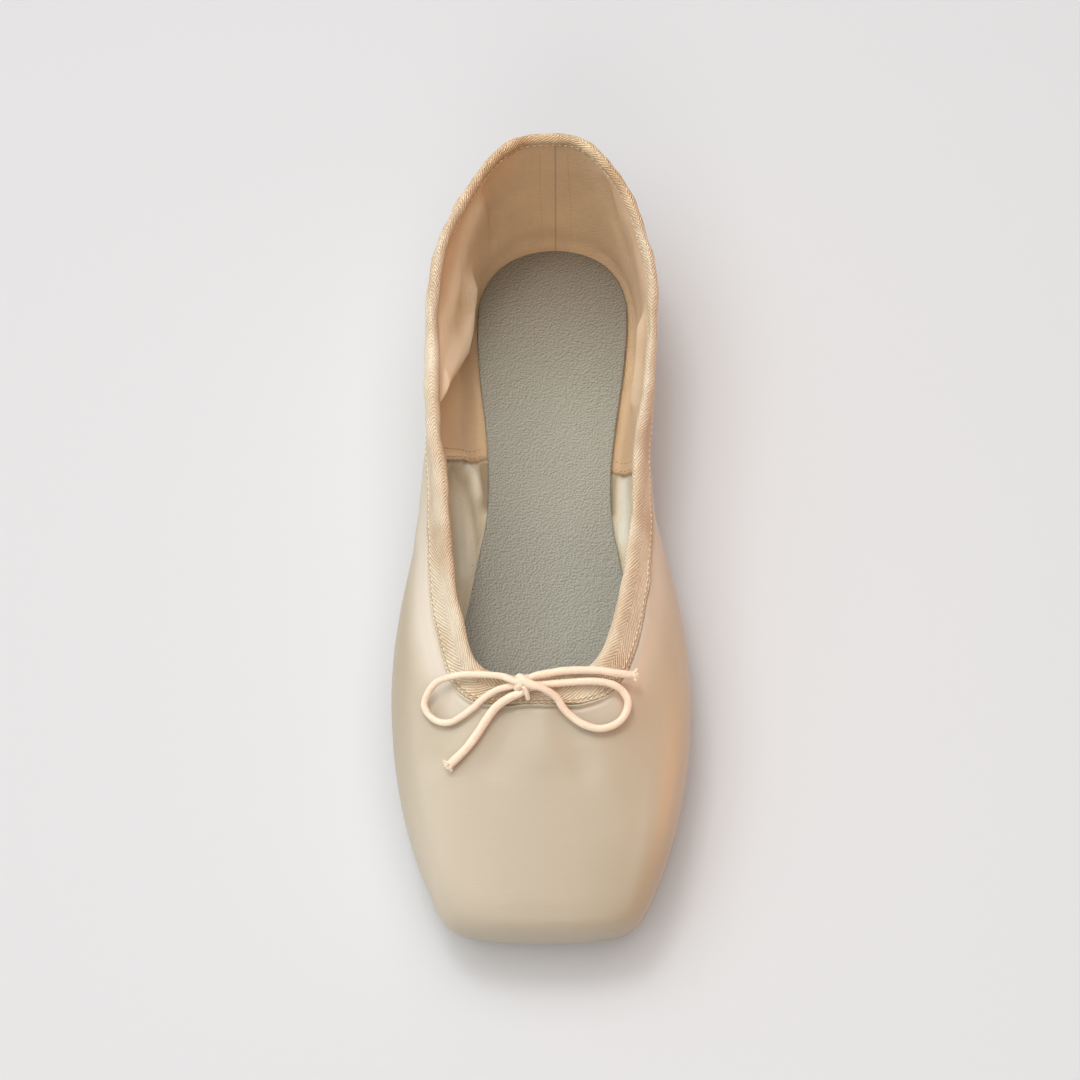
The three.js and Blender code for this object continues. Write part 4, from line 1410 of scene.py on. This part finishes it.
class POINTE_OT_stitches(bpy.types.Operator):
    """Sews the rows of stitches on the tape and the linings"""

    bl_idname = "pointe.stitches"
    bl_label = "Stitches"

    def execute(self, context):
        sizes = context.scene.pointe_sizes
        colours = context.scene.pointe_colours
        scale = sizes.fold_depth
        pale = thread_finish("tape_thread", colours.thread)
        dark = thread_finish("lining_thread", colours.lining_thread)
        soft = thread_finish("heel_thread", colours.heel_thread)
        u = np.append(np.arange(0, RIB_COUNT, 0.05), RIB_COUNT)
        around = [
            tape_face(u, 7.7 - 0.75 * throat_rise(u), np.full(len(u), 0.8)),
            tape_face(u, np.full(len(u), 3.4), np.full(len(u), -1.9)),
        ]
        self.row("tape_stitches", around, pale, sizes, "tape")
        seams = []
        v = np.linspace(4.6, 1.15, 60)
        for place, way in ((SEAM_RIGHT, -1), (SEAM_LEFT, 1)):
            for back in (0.09, 0.23):
                seams.append(inner_face(np.full(len(v), place + way * back), v, scale))
        heel = []
        v = np.linspace(4.9, 1.2, 60)
        for way in (-0.4, 0.4):
            place = 0.19 - 0.13 * (TAPE_EDGE - v) / TAPE_EDGE + way
            heel.append(inner_face(place % RIB_COUNT, v, scale))
        self.row("lining_stitches", seams, dark, sizes, "satin")
        self.row("heel_stitches", heel, soft, sizes, "satin")
        return {"FINISHED"}

    def row(self, name, lines, thread, sizes, slot):
        values = {
            "Pitch": sizes.stitch_pitch,
            "Length": sizes.stitch_length,
            "Thickness": sizes.stitch_thickness,
            "Thread": thread,
        }
        put_on(grown(name, line_mesh(name, lines), stitch_tree(), values), slot)


class POINTE_OT_stage(bpy.types.Operator):
    """Sets the floor, the soft studio light and the camera"""

    bl_idname = "pointe.stage"
    bl_label = "Stage"

    def execute(self, context):
        scene = context.scene
        scene.view_settings.view_transform = "Standard"
        half = 4000.0
        corners = [[-half, -half, 0], [half, -half, 0], [half, half, 0], [-half, half, 0]]
        floor = make_piece("floor", np.array(corners), [[0, 1, 2, 3]], [floor_finish(scene.pointe_colours)])
        world = bpy.data.worlds.new("studio")
        world.use_nodes = True
        graph = Graph(world.node_tree)
        way = graph.node("ShaderNodeTexCoord", {}, {}, "Generated")
        across, _, rise = graph.parts(way)
        right = 1 - across.below(0.3, 0.55)
        warm = graph.blend(right, (1.0, 0.995, 0.99), (0.46, 0.16, 0.04))
        warm = graph.blend(rise.below(0.2, 0.3) * 0.3, warm, (0.3, 0.27, 0.24))
        seen = graph.node("ShaderNodeLightPath", {}, {}, "Is Camera Ray")
        tone = graph.blend(seen, warm, (2.1, 2.1, 2.1))
        sky = graph.node("ShaderNodeBackground", {}, {"Color": tone, "Strength": 0.38})
        graph.node("ShaderNodeOutputWorld", {}, {"Surface": sky})
        scene.world = world
        lamps = {name: self.light(name, *values) for name, values in LAMPS.items()}
        lamps["overhead"].visible_glossy = False
        for name in ("left", "right"):
            lamps[name].light_linking.receiver_collection = lit_alone()
        self.camera(scene)
        return {"FINISHED"}

    def light(self, name, place, aim, wide, deep, power, colour):
        data = bpy.data.lights.new(name, "AREA")
        data.shape = "RECTANGLE"
        data.size = wide
        data.size_y = deep
        data.energy = power
        data.color = colour
        lamp = bpy.data.objects.new(name, data)
        way = unit(np.array(aim, float) - np.array(place, float))
        side = unit(np.cross(way, [0.0, 1.0, 0.001]))
        up = np.cross(side, way)
        lamp.matrix_world = Matrix([
            [side[k], up[k], -way[k], place[k]] for k in range(3)
        ] + [[0, 0, 0, 1]])
        bpy.context.scene.collection.objects.link(lamp)
        return lamp

    def camera(self, scene):
        """The photographed view, turned about the eye so that the shoe is in the middle."""
        level = np.array([math.sin(EYE_TURN), math.cos(EYE_TURN), 0])
        ahead = level * math.cos(EYE_DOWN) - np.array([0, 0, math.sin(EYE_DOWN)])
        right = np.array([math.cos(EYE_TURN), -math.sin(EYE_TURN), 0])
        up = np.cross(right, ahead)
        side = right * math.cos(EYE_PAN) + ahead * math.sin(EYE_PAN)
        way = ahead * math.cos(EYE_PAN) - right * math.sin(EYE_PAN)
        data = bpy.data.cameras.new("camera")
        data.sensor_width = SENSOR
        data.lens = LENS
        data.clip_start = 0.01
        data.clip_end = 50
        eye = bpy.data.objects.new("camera", data)
        eye.matrix_world = Matrix([
            [side[k], up[k], -way[k], EYE[k] * MM] for k in range(3)
        ] + [[0, 0, 0, 1]])
        scene.collection.objects.link(eye)
        scene.camera = eye


PIECES = [
    POINTE_OT_stage,
    POINTE_OT_bow,
    POINTE_OT_upper,
    POINTE_OT_tape,
    POINTE_OT_soles,
    POINTE_OT_stitches,
]


class POINTE_PT_panel(bpy.types.Panel):
    """Lists the shoe's sizes, colours and pieces"""

    bl_idname = "POINTE_PT_panel"
    bl_label = "Pointe Shoe"
    bl_space_type = "VIEW_3D"
    bl_region_type = "UI"
    bl_category = "Pointe Shoe"

    def draw(self, context):
        for group in (context.scene.pointe_sizes, context.scene.pointe_colours):
            box = self.layout.box()
            for name in group.__annotations__:
                box.prop(group, name)
        for piece in PIECES:
            self.layout.operator(piece.bl_idname)


CLASSES = [ShoeColours, ShoeSizes, *PIECES, POINTE_PT_panel]


def register():
    for cls in CLASSES:
        bpy.utils.register_class(cls)
    bpy.types.Scene.pointe_colours = bpy.props.PointerProperty(type=ShoeColours)
    bpy.types.Scene.pointe_sizes = bpy.props.PointerProperty(type=ShoeSizes)


def unregister():
    del bpy.types.Scene.pointe_sizes
    del bpy.types.Scene.pointe_colours
    for cls in reversed(CLASSES):
        bpy.utils.unregister_class(cls)


def main():
    register()
    bpy.ops.pointe.stage()
    bpy.ops.pointe.bow()
    bpy.ops.pointe.upper()
    bpy.ops.pointe.tape()
    bpy.ops.pointe.soles()
    bpy.ops.pointe.stitches()


if __name__ == "__main__":
    main()
